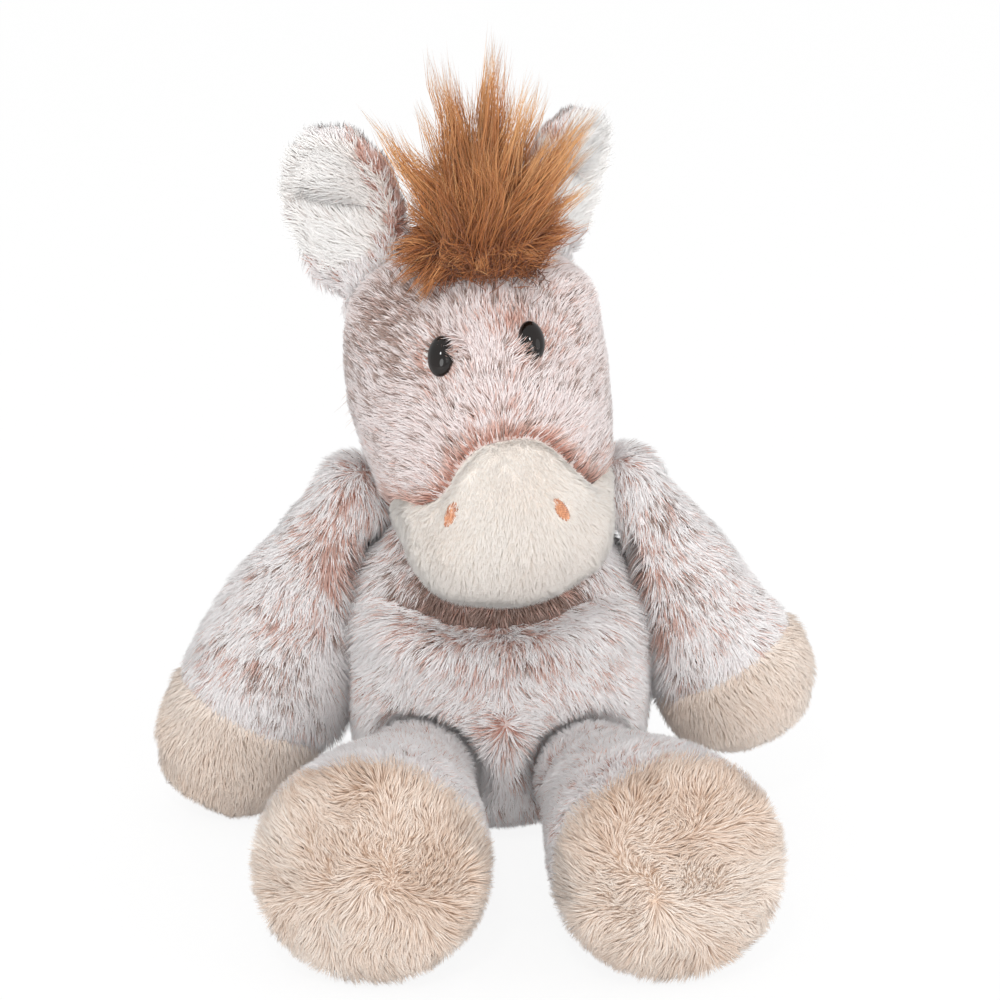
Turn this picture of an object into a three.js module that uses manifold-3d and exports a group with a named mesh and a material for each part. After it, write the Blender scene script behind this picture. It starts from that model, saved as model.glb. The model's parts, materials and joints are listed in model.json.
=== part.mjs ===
// A seated plush horse with floppy limbs, a long-pile mane and round hooves.
// Millimetres, +Z up, the floor at Z = 0. The horse looks along -Y, so its right side is at -X.
// Every stuffed piece is a plush cover with its filling inside. Each joint is a stuffed ball end
// in a round seat, so the seam can turn without one piece entering the other.

import * as THREE from 'three';
import { mergeVertices } from 'three/addons/utils/BufferGeometryUtils.js';
import Module from 'manifold-3d';

const wasm = await Module();
wasm.setup();

// Sizes shared by all pieces, in millimetres

const plushThickness = 2.4;
const clearance = 0.3;
const sideClearance = 0.6;
const swingClearance = 1;
const floorFlat = 0.5;
const hoofSettle = 1.3;
const overrun = 400;

// Torso: pear-shaped, widest low down, with a bag of pellets in its seat

const torsoHeight = 132;
const torsoHalfWidth = 55;
const torsoHalfDepth = 43;
const torsoLeanDeg = -2.7;
const torsoBackDeg = 4;
const torsoOutlineShares = [
  [0, 0], [0.5, 0.01], [0.8, 0.09], [0.97, 0.25], [1, 0.38], [0.94, 0.53],
  [0.84, 0.68], [0.74, 0.82], [0.58, 0.92], [0.3, 0.985], [0, 1],
];
const pelletBagHeight = 24;
const pelletBagClearance = 0.6;

// Neck: a round stuffed gusset between the torso and the head

const neckRadius = 23;
const neckHoleRadius = 10;
const neckOffset = -2.5;
const neckBack = -6;
const neckSeatDepth = 4;

// Head: an egg from the crown to the nose, and a wider muzzle

const skullRadius = 42;
const skullForward = 25;
const skullRise = 40;
const headDropDeg = 51;
const headTurnDeg = 9;
const headLeanDeg = -7.4;
const headLength = 125;
const headOutlineShares = [
  [0, 0], [0.6, 0.03], [0.91, 0.13], [1.03, 0.26], [1.05, 0.4], [1, 0.52],
  [0.93, 0.64], [0.82, 0.78], [0.6, 0.9], [0, 0.97],
];
const muzzleHalfWidth = 35;
const muzzleHalfHeight = 29.5;
const muzzleHalfLength = 28;
const muzzleSeam = 40;
const muzzleReach = 1.5;

// Eyes: domed buttons on shanks, each held by a washer inside the cover

const eyeHalfWidth = 4.2;
const eyeHalfHeight = 6.6;
const eyeDome = 3.4;
const eyeSpread = 14.5;
const eyeAlong = 11;
const eyeShankRadius = 1.6;
const eyeShankLength = 9;
const eyeWasherRadius = 6.5;
const eyeWasherThickness = 1.4;
const shankClearance = 0.4;

// Nostrils: padded satin-stitch ovals on the muzzle

const nostrilHalfWidth = 2.4;
const nostrilHalfHeight = 5;
const nostrilThickness = 1;
const nostrilSpread = 18;
const nostrilDrop = 2;
const nostrilSlantDeg = 32;

// Ears: cupped, with a pale lining

const earHalfWidth = 20;
const earHeight = 54;
const earHalfThickness = 9;
const earCupDepth = 7;
const earLiningThickness = 1.6;
const earRimWidth = 3;
const earRootRadius = 8;
const earTurnDeg = 22;
const rightEarSplayDeg = 10;
const leftEarSplayDeg = 22;
const leftEarExtraTurnDeg = 26;
const earSeatAngleDeg = 45;
const earSeatBack = 17;
const earSeatSink = 1;

// Mane and tail: tufts of long pile

const forelockHeight = 62;
const forelockHalfWidth = 31;
const forelockHalfDepth = 20;
const forelockOffset = 9;
const forelockForward = 11;
const forelockTiltDeg = 6;
const forelockOutlineShares = [
  [0, -0.3], [0.7, -0.22], [0.96, 0], [0.98, 0.2], [0.8, 0.45], [0.5, 0.72], [0.22, 0.92], [0, 1],
];
const maneHalfWidth = 13;
const maneHalfDepth = 15;
const maneHalfLength = 33;
const maneTiltDeg = 12;
const maneRise = 12;
const tailLength = 42;
const tailRadius = 11;
const tailRootRadius = 7;
const tailRise = 44;
const tailDroopDeg = 24;
const tailOutlineShares = [[0, 0], [0.6, 0.06], [0.86, 0.3], [1, 0.62], [0.74, 0.87], [0, 1]];

// Arms: each flares from the shoulder to a round hoof, whose tip is a set height above the floor

const armLength = 121;
const armRadius = 27;
const armRootRadius = 17;
const armFlatShare = 0.9;
const shoulderSpread = 45.5;
const shoulderHeight = 117;
const shoulderBack = -1;
const wristShare = 0.68;
const armSoleShare = 0.9;
const armOutlineShares = [
  [0, 0], [0.58, 0.02], [0.7, 0.12], [0.84, 0.3], [0.92, 0.48], [0.96, 0.64],
  [1, 0.78], [0.93, 0.9], [0.66, 0.975], [0, 1],
];
const rightArmTipRise = 4.9;
const rightArmBackDeg = 1;
const leftArmTipRise = 27.3;
const leftArmBackDeg = 3;
const leftArmBunchShare = 0.86;

// Legs: each points forward and ends in a big round hoof

const legLength = 110;
const legRadius = 35.5;
const legRootRadius = 22;
const hipSpread = 30;
const hipForward = 35;
const ankleShare = 0.7;
const legSoleShare = 0.9;
const legOutlineShares = [
  [0, 0], [0.58, 0.02], [0.66, 0.2], [0.74, 0.42], [0.9, 0.6], [1, 0.76],
  [0.97, 0.87], [0.78, 0.955], [0, 1],
];
const rightLegSplayDeg = 7.5;
const leftLegSplayDeg = 14;

// How far each seam turns, so that each piece is cut clear of what it turns past

const legLiftDeg = 20;
const legDropDeg = 15;
const headSwivelDeg = 25;
const tailSwingDeg = 25;
const earBendDeg = 15;

// Facets

const outerSteps = 16;
const outerRows = 9;
const innerSteps = 9;
const innerRows = 5;
const smallSteps = 10;
const smallRows = 6;
const rodSteps = 10;
const ballDetail = 2;
const smallBallDetail = 1;
const mergeTolerance = 0.0001;

// Colours and roughness

const plushColor = 0xd6caca;
const hoofColor = 0xd9c0ad;
const creamColor = 0xe9e4df;
const maneColor = 0x9a6238;
const fillingColor = 0xf2f2ee;
const stitchColor = 0xc98a5c;
const eyeColor = 0x14100e;
const washerColor = 0xe8e8e4;
const plushRoughness = 0.95;
const fillingRoughness = 1;
const eyeRoughness = 0.08;
const washerRoughness = 0.5;
const stitchRoughness = 0.5;

// Directions

const acrossAxis = new THREE.Vector3(1, 0, 0);
const backAxis = new THREE.Vector3(0, 1, 0);
const upAxis = new THREE.Vector3(0, 0, 1);
const downAxis = new THREE.Vector3(0, 0, -1);

// Solids

function solidOf(geometry) {
  const bare = geometry.clone();
  bare.deleteAttribute('normal');
  bare.deleteAttribute('uv');
  const merged = mergeVertices(bare, mergeTolerance);
  const corners = merged.index.array;
  const kept = [];
  for (let i = 0; i < corners.length; i += 3) {
    const [a, b, c] = corners.slice(i, i + 3);
    if (a !== b && b !== c && c !== a) kept.push(a, b, c);
  }
  const vertProperties = new Float32Array(merged.attributes.position.array);
  const triVerts = new Uint32Array(kept);
  return new wasm.Manifold(new wasm.Mesh({ numProp: 3, vertProperties, triVerts }));
}

function geometryOf(solid) {
  const mesh = solid.getMesh();
  const geometry = new THREE.BufferGeometry();
  geometry.setAttribute('position', new THREE.BufferAttribute(new Float32Array(mesh.vertProperties), 3));
  geometry.setIndex(new THREE.BufferAttribute(new Uint32Array(mesh.triVerts), 1));
  return geometry;
}

function moved(solid, matrix) {
  return solidOf(geometryOf(solid).applyMatrix4(matrix));
}

function joined(solids) {
  return solids.reduce((whole, next) => whole.add(next));
}

function turnTo(from, to) {
  return new THREE.Quaternion().setFromUnitVectors(from, to.clone().normalize());
}

// A place whose Z axis points along a direction
function placeAlong(point, direction) {
  return new THREE.Matrix4().makeRotationFromQuaternion(turnTo(upAxis, direction)).setPosition(point);
}

function turnAbout(pivot, axis, deg) {
  const turn = new THREE.Matrix4().makeRotationAxis(axis, THREE.MathUtils.degToRad(deg));
  const out = new THREE.Matrix4().makeTranslation(pivot.x, pivot.y, pivot.z);
  const home = new THREE.Matrix4().makeTranslation(-pivot.x, -pivot.y, -pivot.z);
  return out.multiply(turn).multiply(home);
}

// A solid at each of several angles about a pivot, as one
function swept(solid, pivot, axis, anglesDeg) {
  return joined(anglesDeg.map((deg) => moved(solid, turnAbout(pivot, axis, deg))));
}

function ball(centre, radius, detail = ballDetail) {
  const geometry = new THREE.IcosahedronGeometry(radius, detail);
  return solidOf(geometry.translate(centre.x, centre.y, centre.z));
}

// A ball whose flat facets all lie outside the given radius
function seatBall(centre, radius, detail = ballDetail) {
  const points = new THREE.IcosahedronGeometry(1, detail).attributes.position;
  const facet = new THREE.Plane();
  let depth = 1;
  for (let i = 0; i < points.count; i += 3) {
    const corners = [i, i + 1, i + 2].map((k) => new THREE.Vector3().fromBufferAttribute(points, k));
    depth = Math.min(depth, Math.abs(facet.setFromCoplanarPoints(...corners).constant));
  }
  return ball(centre, radius / depth, detail);
}

function oval(halfX, halfY, halfZ, steps = smallSteps, rows = smallRows) {
  return solidOf(new THREE.SphereGeometry(1, steps, rows).scale(halfX, halfY, halfZ));
}

function rod(radius, from, to) {
  const span = new THREE.Vector3().subVectors(to, from);
  const geometry = new THREE.CylinderGeometry(radius, radius, span.length(), rodSteps);
  geometry.applyQuaternion(turnTo(backAxis, span));
  const middle = from.clone().addScaledVector(span, 0.5);
  return solidOf(geometry.translate(middle.x, middle.y, middle.z));
}

// A large block that fills the side of a plane its normal points to
function halfSpace(point, normal) {
  const geometry = new THREE.BoxGeometry(overrun, overrun, overrun).translate(0, 0, overrun / 2);
  return solidOf(geometry.applyMatrix4(placeAlong(point, normal)));
}

// A swelling round body along +Z: a smooth curve through shares of its radius and length, turned
// about the axis. A positive inset gives the surface that far inside it, a negative one outside.
function swelling(radius, length, shares, inset, stretchY) {
  const curve = new THREE.SplineCurve(shares.map(([r, z]) => new THREE.Vector2(r * radius, z * length)));
  const [steps, rows] = facetsFor(inset);
  const points = curve.getSpacedPoints(rows);
  const last = points.length - 1;
  const outline = points.map((point, i) => {
    if (i === 0) return new THREE.Vector2(0, point.y + inset);
    if (i === last) return new THREE.Vector2(0, point.y - inset);
    const along = new THREE.Vector2().subVectors(points[i + 1], points[i - 1]).normalize();
    const x = Math.max(point.x - inset * along.y, clearance);
    return new THREE.Vector2(x, point.y + inset * along.x);
  });
  const geometry = new THREE.LatheGeometry(outline, steps).rotateX(Math.PI / 2);
  return solidOf(geometry.scale(1, stretchY, 1));
}

function facetsFor(inset) {
  return inset > 0 ? [innerSteps, innerRows] : [outerSteps, outerRows];
}

function aboveFloor(solid, inset) {
  return solid.subtract(halfSpace(new THREE.Vector3(0, 0, inset), downAxis));
}

// Frames: each joint's group sits at its pivot

const horse = new THREE.Group();

function frameAt(parent, place) {
  const frame = new THREE.Group();
  frame.applyMatrix4(place);
  parent.add(frame);
  frame.updateWorldMatrix(true, false);
  return frame;
}

function turnedPlace(point, euler) {
  return new THREE.Matrix4().makeRotationFromEuler(euler).setPosition(point);
}

function pivotOf(frame) {
  return new THREE.Vector3().setFromMatrixPosition(frame.matrixWorld);
}

const torsoLean = new THREE.Euler(
  -THREE.MathUtils.degToRad(torsoBackDeg),
  THREE.MathUtils.degToRad(torsoLeanDeg),
  0,
);
const torsoFrame = frameAt(horse, turnedPlace(new THREE.Vector3(), torsoLean));

// A point of the leaning torso, in the horse's own frame
function onTorso(x, y, z) {
  return new THREE.Vector3(x, y, z).applyMatrix4(torsoFrame.matrixWorld);
}

const neckPlace = onTorso(neckOffset, neckBack, torsoHeight - neckSeatDepth);
const neckFrame = frameAt(horse, turnedPlace(neckPlace, new THREE.Euler()));
const headTurn = new THREE.Euler(
  0,
  THREE.MathUtils.degToRad(headLeanDeg),
  THREE.MathUtils.degToRad(headTurnDeg),
  'ZYX',
);
const headFrame = frameAt(neckFrame, turnedPlace(new THREE.Vector3(), headTurn));

const skullCentre = new THREE.Vector3(0, -skullForward, skullRise);
const headDrop = THREE.MathUtils.degToRad(headDropDeg);
const headAxis = new THREE.Vector3(0, -Math.cos(headDrop), -Math.sin(headDrop));
const faceNormal = new THREE.Vector3(0, -Math.sin(headDrop), Math.cos(headDrop));
const headStart = skullCentre.clone().addScaledVector(headAxis, -skullRadius);
const muzzleStart = headLength - muzzleHalfLength + muzzleReach;
const muzzleCentre = headStart.clone().addScaledVector(headAxis, muzzleStart);
const seamPoint = skullCentre.clone().addScaledVector(headAxis, muzzleSeam);

// An arm spreads as far as its length and the height of its tip ask for
function armDirection(limb, shoulder) {
  const back = THREE.MathUtils.degToRad(limb.armBackDeg);
  const down = Math.min((shoulder.z - limb.armTipRise) / limb.armLength, 1);
  const out = Math.sin(Math.acos(down));
  return new THREE.Vector3(limb.side * out, down * Math.sin(back), -down * Math.cos(back));
}

// The hoof rests on the floor, so the leg's slope follows from the hoof's and the root's radii
const hipHeight = legRootRadius + floorFlat + plushThickness * 2;
const legRise = (legRadius - hoofSettle - hipHeight) / (legLength * ankleShare);

function legDirection(limb) {
  const splay = THREE.MathUtils.degToRad(limb.legSplayDeg);
  return new THREE.Vector3(limb.side * Math.sin(splay), -Math.cos(splay), legRise);
}

const sides = [
  {
    name: 'right',
    side: -1,
    armLength,
    armTipRise: rightArmTipRise,
    armBackDeg: rightArmBackDeg,
    legSplayDeg: rightLegSplayDeg,
    earSplayDeg: rightEarSplayDeg,
    earTurnDeg,
  },
  {
    name: 'left',
    side: 1,
    armLength: armLength * leftArmBunchShare,
    armTipRise: leftArmTipRise,
    armBackDeg: leftArmBackDeg,
    legSplayDeg: leftLegSplayDeg,
    earSplayDeg: leftEarSplayDeg,
    earTurnDeg: earTurnDeg + leftEarExtraTurnDeg,
  },
];

const earSeatAngle = THREE.MathUtils.degToRad(earSeatAngleDeg);
const widestHeadShare = Math.max(...headOutlineShares.map(([r]) => r));
const earSeatReach = skullRadius * widestHeadShare - earSeatSink;

for (const limb of sides) {
  const shoulder = onTorso(limb.side * shoulderSpread, shoulderBack, shoulderHeight);
  const hip = new THREE.Vector3(limb.side * hipSpread, -hipForward, hipHeight);
  limb.armFrame = frameAt(horse, placeAlong(shoulder, armDirection(limb, shoulder)));
  limb.legFrame = frameAt(horse, placeAlong(hip, legDirection(limb)));
  const earSeat = new THREE.Vector3(
    limb.side * Math.sin(earSeatAngle) * earSeatReach,
    skullCentre.y + earSeatBack,
    skullCentre.z + Math.cos(earSeatAngle) * earSeatReach,
  );
  const earTurn = new THREE.Euler(
    0,
    limb.side * THREE.MathUtils.degToRad(limb.earSplayDeg),
    limb.side * THREE.MathUtils.degToRad(limb.earTurnDeg),
    'YZX',
  );
  limb.earFrame = frameAt(headFrame, turnedPlace(earSeat, earTurn));
}

const tailDroop = THREE.MathUtils.degToRad(tailDroopDeg);
const tailSeat = onTorso(0, torsoHalfDepth + tailRootRadius / 2, tailRise);
const tailDirection = new THREE.Vector3(0, Math.sin(tailDroop), -Math.cos(tailDroop));
const tailFrame = frameAt(horse, placeAlong(tailSeat, tailDirection));

// Pieces

function addPiece(frame, name, solid, color, roughness) {
  const toFrame = frame.matrixWorld.clone().invert();
  const material = new THREE.MeshStandardMaterial({ color, roughness });
  const piece = new THREE.Mesh(geometryOf(solid).applyMatrix4(toFrame), material);
  piece.name = name;
  frame.add(piece);
}

// The round seat that holds the ball end of the piece in a frame
function seat(frame, radius, inset) {
  const detail = inset > 0 ? smallBallDetail : ballDetail;
  return seatBall(pivotOf(frame), radius + clearance + inset, detail);
}

function torsoBody(inset) {
  const sunk = new THREE.Matrix4().makeTranslation(0, 0, -floorFlat);
  const depthShare = torsoHalfDepth / torsoHalfWidth;
  const body = swelling(torsoHalfWidth, torsoHeight, torsoOutlineShares, inset, depthShare);
  return moved(body, torsoFrame.matrixWorld.clone().multiply(sunk));
}

function torsoForm(inset) {
  const seats = [
    seat(neckFrame, neckRadius, inset),
    seat(tailFrame, tailRootRadius, inset),
    ...sides.map((limb) => seat(limb.armFrame, armRootRadius, inset)),
    ...sides.map((limb) => seat(limb.legFrame, legRootRadius, inset)),
  ];
  return aboveFloor(torsoBody(inset).subtract(joined(seats)), inset);
}

// The torso as a piece that turns about a pivot meets it, but for what lies within its ball end
function torsoPassed(pivot, axis, anglesDeg, rootRadius, inset) {
  const torso = torsoBody(-swingClearance - inset).subtract(seatBall(pivot, rootRadius));
  return swept(torso, pivot, axis, anglesDeg);
}

function addTorso() {
  const pivot = pivotOf(neckFrame);
  const hole = rod(neckHoleRadius, pivot, new THREE.Vector3(pivot.x, pivot.y, pelletBagHeight));
  const cover = torsoForm(0).subtract(torsoForm(plushThickness)).subtract(hole);
  addPiece(torsoFrame, 'torso_cover', cover, plushColor, plushRoughness);
  const inside = torsoForm(plushThickness + clearance);
  const bagTop = new THREE.Vector3(0, 0, pelletBagHeight);
  const fillingFoot = new THREE.Vector3(0, 0, pelletBagHeight + pelletBagClearance);
  const filling = inside.intersect(halfSpace(fillingFoot, upAxis));
  addPiece(torsoFrame, 'torso_filling', filling, fillingColor, fillingRoughness);
  const bag = inside.subtract(halfSpace(bagTop, upAxis));
  addPiece(torsoFrame, 'pellet_bag', bag, washerColor, fillingRoughness);
}

function addNeck() {
  const pivot = pivotOf(neckFrame);
  const toHead = skullCentre.clone().transformDirection(headFrame.matrixWorld);
  const [low, high] = [downAxis, toHead].map((way) => pivot.clone().addScaledVector(way, neckRadius * 2));
  const holes = rod(neckHoleRadius, pivot, low).add(rod(neckHoleRadius, pivot, high));
  const cover = ball(pivot, neckRadius).subtract(ball(pivot, neckRadius - plushThickness));
  addPiece(neckFrame, 'neck_cover', cover.subtract(holes), plushColor, plushRoughness);
  const filling = ball(pivot, neckRadius - plushThickness - clearance);
  addPiece(neckFrame, 'neck_filling', filling, fillingColor, fillingRoughness);
}

function headBody(inset) {
  const skull = swelling(skullRadius, headLength, headOutlineShares, inset, 1);
  const halves = [muzzleHalfWidth, muzzleHalfHeight, muzzleHalfLength].map((half) => half - inset);
  const muzzle = oval(...halves, ...facetsFor(inset));
  const skullPlaced = moved(skull, placeAlong(headStart, headAxis));
  const muzzlePlaced = moved(muzzle, placeAlong(muzzleCentre, headAxis));
  return moved(skullPlaced.add(muzzlePlaced), headFrame.matrixWorld);
}

function headForm(inset) {
  const seats = [
    seat(neckFrame, neckRadius, inset),
    ...sides.map((limb) => seat(limb.earFrame, earRootRadius, inset)),
  ];
  const anglesDeg = [-headSwivelDeg, 0, headSwivelDeg];
  const torso = torsoPassed(pivotOf(neckFrame), upAxis, anglesDeg, neckRadius, inset);
  return headBody(inset).subtract(joined(seats)).subtract(torso);
}

// The place where a ray from inside the head leaves it, with Z along the surface's normal
function onFace(across, distanceAlong, direction) {
  const start = skullCentre.clone().addScaledVector(headAxis, distanceAlong);
  start.x = across;
  start.applyMatrix4(headFrame.matrixWorld);
  const way = direction.clone().transformDirection(headFrame.matrixWorld);
  const surface = new THREE.MeshBasicMaterial({ side: THREE.DoubleSide });
  const face = new THREE.Mesh(geometryOf(headBody(0)), surface);
  const [hit] = new THREE.Raycaster(start, way, 0, overrun).intersectObject(face);
  return placeAlong(hit.point, hit.face.normal);
}

function addHead() {
  const shell = headForm(0).subtract(headForm(plushThickness));
  const axis = headAxis.clone().transformDirection(headFrame.matrixWorld);
  const seam = seamPoint.clone().applyMatrix4(headFrame.matrixWorld);
  const seamRoom = seam.clone().addScaledVector(axis, -clearance);
  const skull = skullCentre.clone().applyMatrix4(headFrame.matrixWorld);
  const hole = rod(neckHoleRadius, pivotOf(neckFrame), skull);
  const eyes = sides.map((limb) => eyeAt(limb.side));
  const eyeRooms = joined(eyes.map((eye) => eye.room));
  const cover = shell.subtract(halfSpace(seamRoom, axis)).subtract(hole).subtract(eyeRooms);
  addPiece(headFrame, 'head_cover', cover, plushColor, plushRoughness);
  addPiece(headFrame, 'muzzle_cover', shell.intersect(halfSpace(seam, axis)), creamColor, plushRoughness);
  const filling = headForm(plushThickness + clearance).subtract(eyeRooms);
  addPiece(headFrame, 'head_filling', filling, fillingColor, fillingRoughness);
  sides.forEach((limb, i) => {
    addPiece(headFrame, `${limb.name}_eye`, eyes[i].button, eyeColor, eyeRoughness);
    addPiece(headFrame, `${limb.name}_eye_washer`, eyes[i].washer, washerColor, washerRoughness);
    addPiece(headFrame, `${limb.name}_nostril`, nostrilAt(limb.side), stitchColor, stitchRoughness);
  });
}

// An eye's parts, all along the line from the face into the head
function eyeAt(side) {
  const place = onFace(side * eyeSpread, eyeAlong, faceNormal);
  const inward = (depth) => new THREE.Vector3(0, 0, -depth);
  const dome = oval(eyeHalfWidth, eyeHalfHeight, eyeDome).subtract(halfSpace(inward(-clearance), downAxis));
  const button = dome.add(rod(eyeShankRadius, inward(eyeShankLength), inward(-eyeDome / 2)));
  const washerTop = plushThickness + clearance;
  const washerFoot = washerTop + eyeWasherThickness;
  const boreRadius = eyeShankRadius + shankClearance;
  const bore = rod(boreRadius, inward(eyeShankLength + clearance), inward(-eyeDome));
  const washer = rod(eyeWasherRadius, inward(washerFoot), inward(washerTop)).subtract(bore);
  const washerRoom = rod(eyeWasherRadius + clearance, inward(washerFoot + clearance), inward(plushThickness));
  return {
    button: moved(button, place),
    washer: moved(washer, place),
    room: moved(washerRoom.add(bore), place),
  };
}

function nostrilAt(side) {
  const distanceAlong = muzzleStart - skullRadius;
  const outward = faceNormal.clone().addScaledVector(headAxis, nostrilDrop / muzzleHalfHeight);
  const place = onFace(side * nostrilSpread, distanceAlong, outward);
  const slant = new THREE.Matrix4().makeRotationZ(side * THREE.MathUtils.degToRad(nostrilSlantDeg));
  const patch = oval(nostrilHalfWidth, nostrilHalfHeight, nostrilHalfHeight);
  const pad = headBody(-nostrilThickness - clearance).subtract(headBody(-clearance));
  return moved(patch, place.multiply(slant)).intersect(pad);
}

// An ear is a flat oval, hollowed in front by a second oval whose surface carries the lining
function earOval(inset, forward) {
  const halves = [earHalfWidth, earHalfThickness, earHeight / 2].map((half) => half - inset);
  const place = new THREE.Matrix4().makeTranslation(0, -forward, earHeight / 2);
  return moved(oval(...halves, innerSteps, innerRows), place);
}

function earCup(inset) {
  return earOval(inset, 0);
}

function earHollow(inset) {
  return earOval(inset - earRimWidth, earHalfThickness * 2 - earCupDepth);
}

function addEar(limb) {
  const place = limb.earFrame.matrixWorld;
  const pivot = pivotOf(limb.earFrame);
  const head = headBody(-sideClearance).subtract(seatBall(pivot, earRootRadius));
  const headRoom = swept(head, pivot, acrossAxis, [-earBendDeg, earBendDeg]);
  const root = ball(new THREE.Vector3(), earRootRadius, smallBallDetail);
  const rootRoom = seatBall(new THREE.Vector3(), earRootRadius + clearance, smallBallDetail);
  const cover = earCup(0).subtract(earHollow(0)).add(root);
  const coverPlaced = moved(cover, place).subtract(headRoom);
  addPiece(limb.earFrame, `${limb.name}_ear_cover`, coverPlaced, plushColor, plushRoughness);
  const skin = earHollow(clearance).subtract(earHollow(clearance + earLiningThickness));
  const lining = skin.intersect(earCup(clearance)).subtract(rootRoom);
  const liningPlaced = moved(lining, place).subtract(headRoom);
  addPiece(limb.earFrame, `${limb.name}_ear_lining`, liningPlaced, creamColor, plushRoughness);
}

// The room that an ear needs as it bends forward
function earRoom(limb) {
  const pivot = pivotOf(limb.earFrame);
  const root = seatBall(pivot, earRootRadius + clearance);
  const ear = moved(earCup(-sideClearance), limb.earFrame.matrixWorld).add(root);
  return swept(ear, pivot, acrossAxis, [0, earBendDeg / 2, earBendDeg]);
}

function forelockBody(inset) {
  const depthShare = forelockHalfDepth / forelockHalfWidth;
  const tuft = swelling(forelockHalfWidth, forelockHeight, forelockOutlineShares, inset, depthShare);
  const crown = skullCentre.clone().add(new THREE.Vector3(forelockOffset, -forelockForward, skullRadius));
  const tilt = new THREE.Euler(THREE.MathUtils.degToRad(forelockTiltDeg), 0, 0);
  return moved(tuft, headFrame.matrixWorld.clone().multiply(turnedPlace(crown, tilt)));
}

function addMane() {
  const head = headBody(-clearance);
  const forelock = forelockBody(0).subtract(head).subtract(joined(sides.map(earRoom)));
  addPiece(headFrame, 'forelock', forelock, maneColor, plushRoughness);
  const ridge = oval(maneHalfWidth, maneHalfDepth, maneHalfLength, innerSteps, innerRows);
  const nape = skullCentre.clone().add(new THREE.Vector3(0, skullRadius, maneRise));
  const tilt = new THREE.Euler(THREE.MathUtils.degToRad(maneTiltDeg), 0, 0);
  const strip = moved(ridge, headFrame.matrixWorld.clone().multiply(turnedPlace(nape, tilt)));
  const neckMane = strip.subtract(head).subtract(forelockBody(-clearance));
  addPiece(headFrame, 'neck_mane', neckMane, maneColor, plushRoughness);
}

function addTail() {
  const root = ball(new THREE.Vector3(), tailRootRadius, smallBallDetail);
  const body = swelling(tailRadius, tailLength, tailOutlineShares, 0, 1);
  const anglesDeg = [-tailSwingDeg, tailSwingDeg];
  const torso = torsoPassed(pivotOf(tailFrame), backAxis, anglesDeg, tailRootRadius, 0);
  const tail = moved(root.add(body), tailFrame.matrixWorld).subtract(torso);
  addPiece(tailFrame, 'tail', tail, maneColor, plushRoughness);
}

// A limb is a ball end joined to a swelling body, less the room of what it has to keep clear of
function limbForm(frame, rootRadius, body, room, inset) {
  const root = ball(pivotOf(frame), rootRadius - inset);
  return aboveFloor(moved(body, frame.matrixWorld).subtract(room).add(root), inset);
}

// An arm swings about a line through both shoulders. The torso's side, turned about that line, is
// what the arm keeps clear of at every angle.
function armRoom(limb, inset) {
  const widestHeight = torsoOutlineShares.reduce((best, row) => (row[0] > best[0] ? row : best))[1];
  const side = torsoOutlineShares
    .filter(([, z]) => z >= widestHeight && z * torsoHeight < shoulderHeight)
    .map(([r, z]) => {
      const reach = shoulderHeight - z * torsoHeight;
      return new THREE.Vector2(reach, r * torsoHalfWidth + sideClearance + inset);
    });
  const [lowest] = side;
  const highest = side[side.length - 1];
  const outline = [
    new THREE.Vector2(0, 0),
    new THREE.Vector2(overrun / 2, 0),
    new THREE.Vector2(overrun / 2, lowest.y),
    ...side,
    new THREE.Vector2(0, highest.y),
  ];
  const geometry = new THREE.LatheGeometry(outline, outerSteps).rotateZ((-limb.side * Math.PI) / 2);
  const shoulderLine = new THREE.Matrix4().makeTranslation(0, shoulderBack, shoulderHeight);
  return solidOf(geometry.applyMatrix4(torsoFrame.matrixWorld.clone().multiply(shoulderLine)));
}

function armForm(limb, inset) {
  const body = swelling(armRadius, limb.armLength, armOutlineShares, inset, armFlatShare);
  return limbForm(limb.armFrame, armRootRadius, body, armRoom(limb, inset), inset);
}

function legForm(limb, inset) {
  const body = swelling(legRadius, legLength, legOutlineShares, inset, 1);
  const pivot = pivotOf(limb.legFrame);
  const room = torsoPassed(pivot, acrossAxis, [-legLiftDeg, legDropDeg], legRootRadius, inset);
  return limbForm(limb.legFrame, legRootRadius, body, room, inset);
}

// The half of space beyond a distance along a limb
function beyond(frame, distance) {
  const point = new THREE.Vector3(0, 0, distance).applyMatrix4(frame.matrixWorld);
  return halfSpace(point, upAxis.clone().transformDirection(frame.matrixWorld));
}

// A limb's cover ends at the hoof, and the hoof ends at its sole
function addLimb(frame, limbName, form, hoofAt, soleAt) {
  const shell = form(0).subtract(form(plushThickness));
  const cover = shell.subtract(beyond(frame, hoofAt - clearance));
  const hoof = shell.intersect(beyond(frame, hoofAt)).subtract(beyond(frame, soleAt - clearance));
  const sole = shell.intersect(beyond(frame, soleAt));
  const filling = form(plushThickness + clearance);
  addPiece(frame, `${limbName}_cover`, cover, plushColor, plushRoughness);
  addPiece(frame, `${limbName}_hoof`, hoof, hoofColor, plushRoughness);
  addPiece(frame, `${limbName}_sole`, sole, hoofColor, plushRoughness);
  addPiece(frame, `${limbName}_filling`, filling, fillingColor, fillingRoughness);
}

function addArm(limb) {
  const form = (inset) => armForm(limb, inset);
  const hoofAt = limb.armLength * wristShare;
  addLimb(limb.armFrame, `${limb.name}_arm`, form, hoofAt, limb.armLength * armSoleShare);
}

function addLeg(limb) {
  const form = (inset) => legForm(limb, inset);
  addLimb(limb.legFrame, `${limb.name}_leg`, form, legLength * ankleShare, legLength * legSoleShare);
}

addTorso();
addNeck();
addHead();
addMane();
addTail();
for (const limb of sides) {
  addEar(limb);
  addArm(limb);
  addLeg(limb);
}

// The origin is under the middle of the whole horse
const bounds = new THREE.Box3().setFromObject(horse, true);
const middle = bounds.getCenter(new THREE.Vector3());
horse.position.set(-middle.x, -middle.y, -bounds.min.z);
horse.updateMatrixWorld(true);

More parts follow.
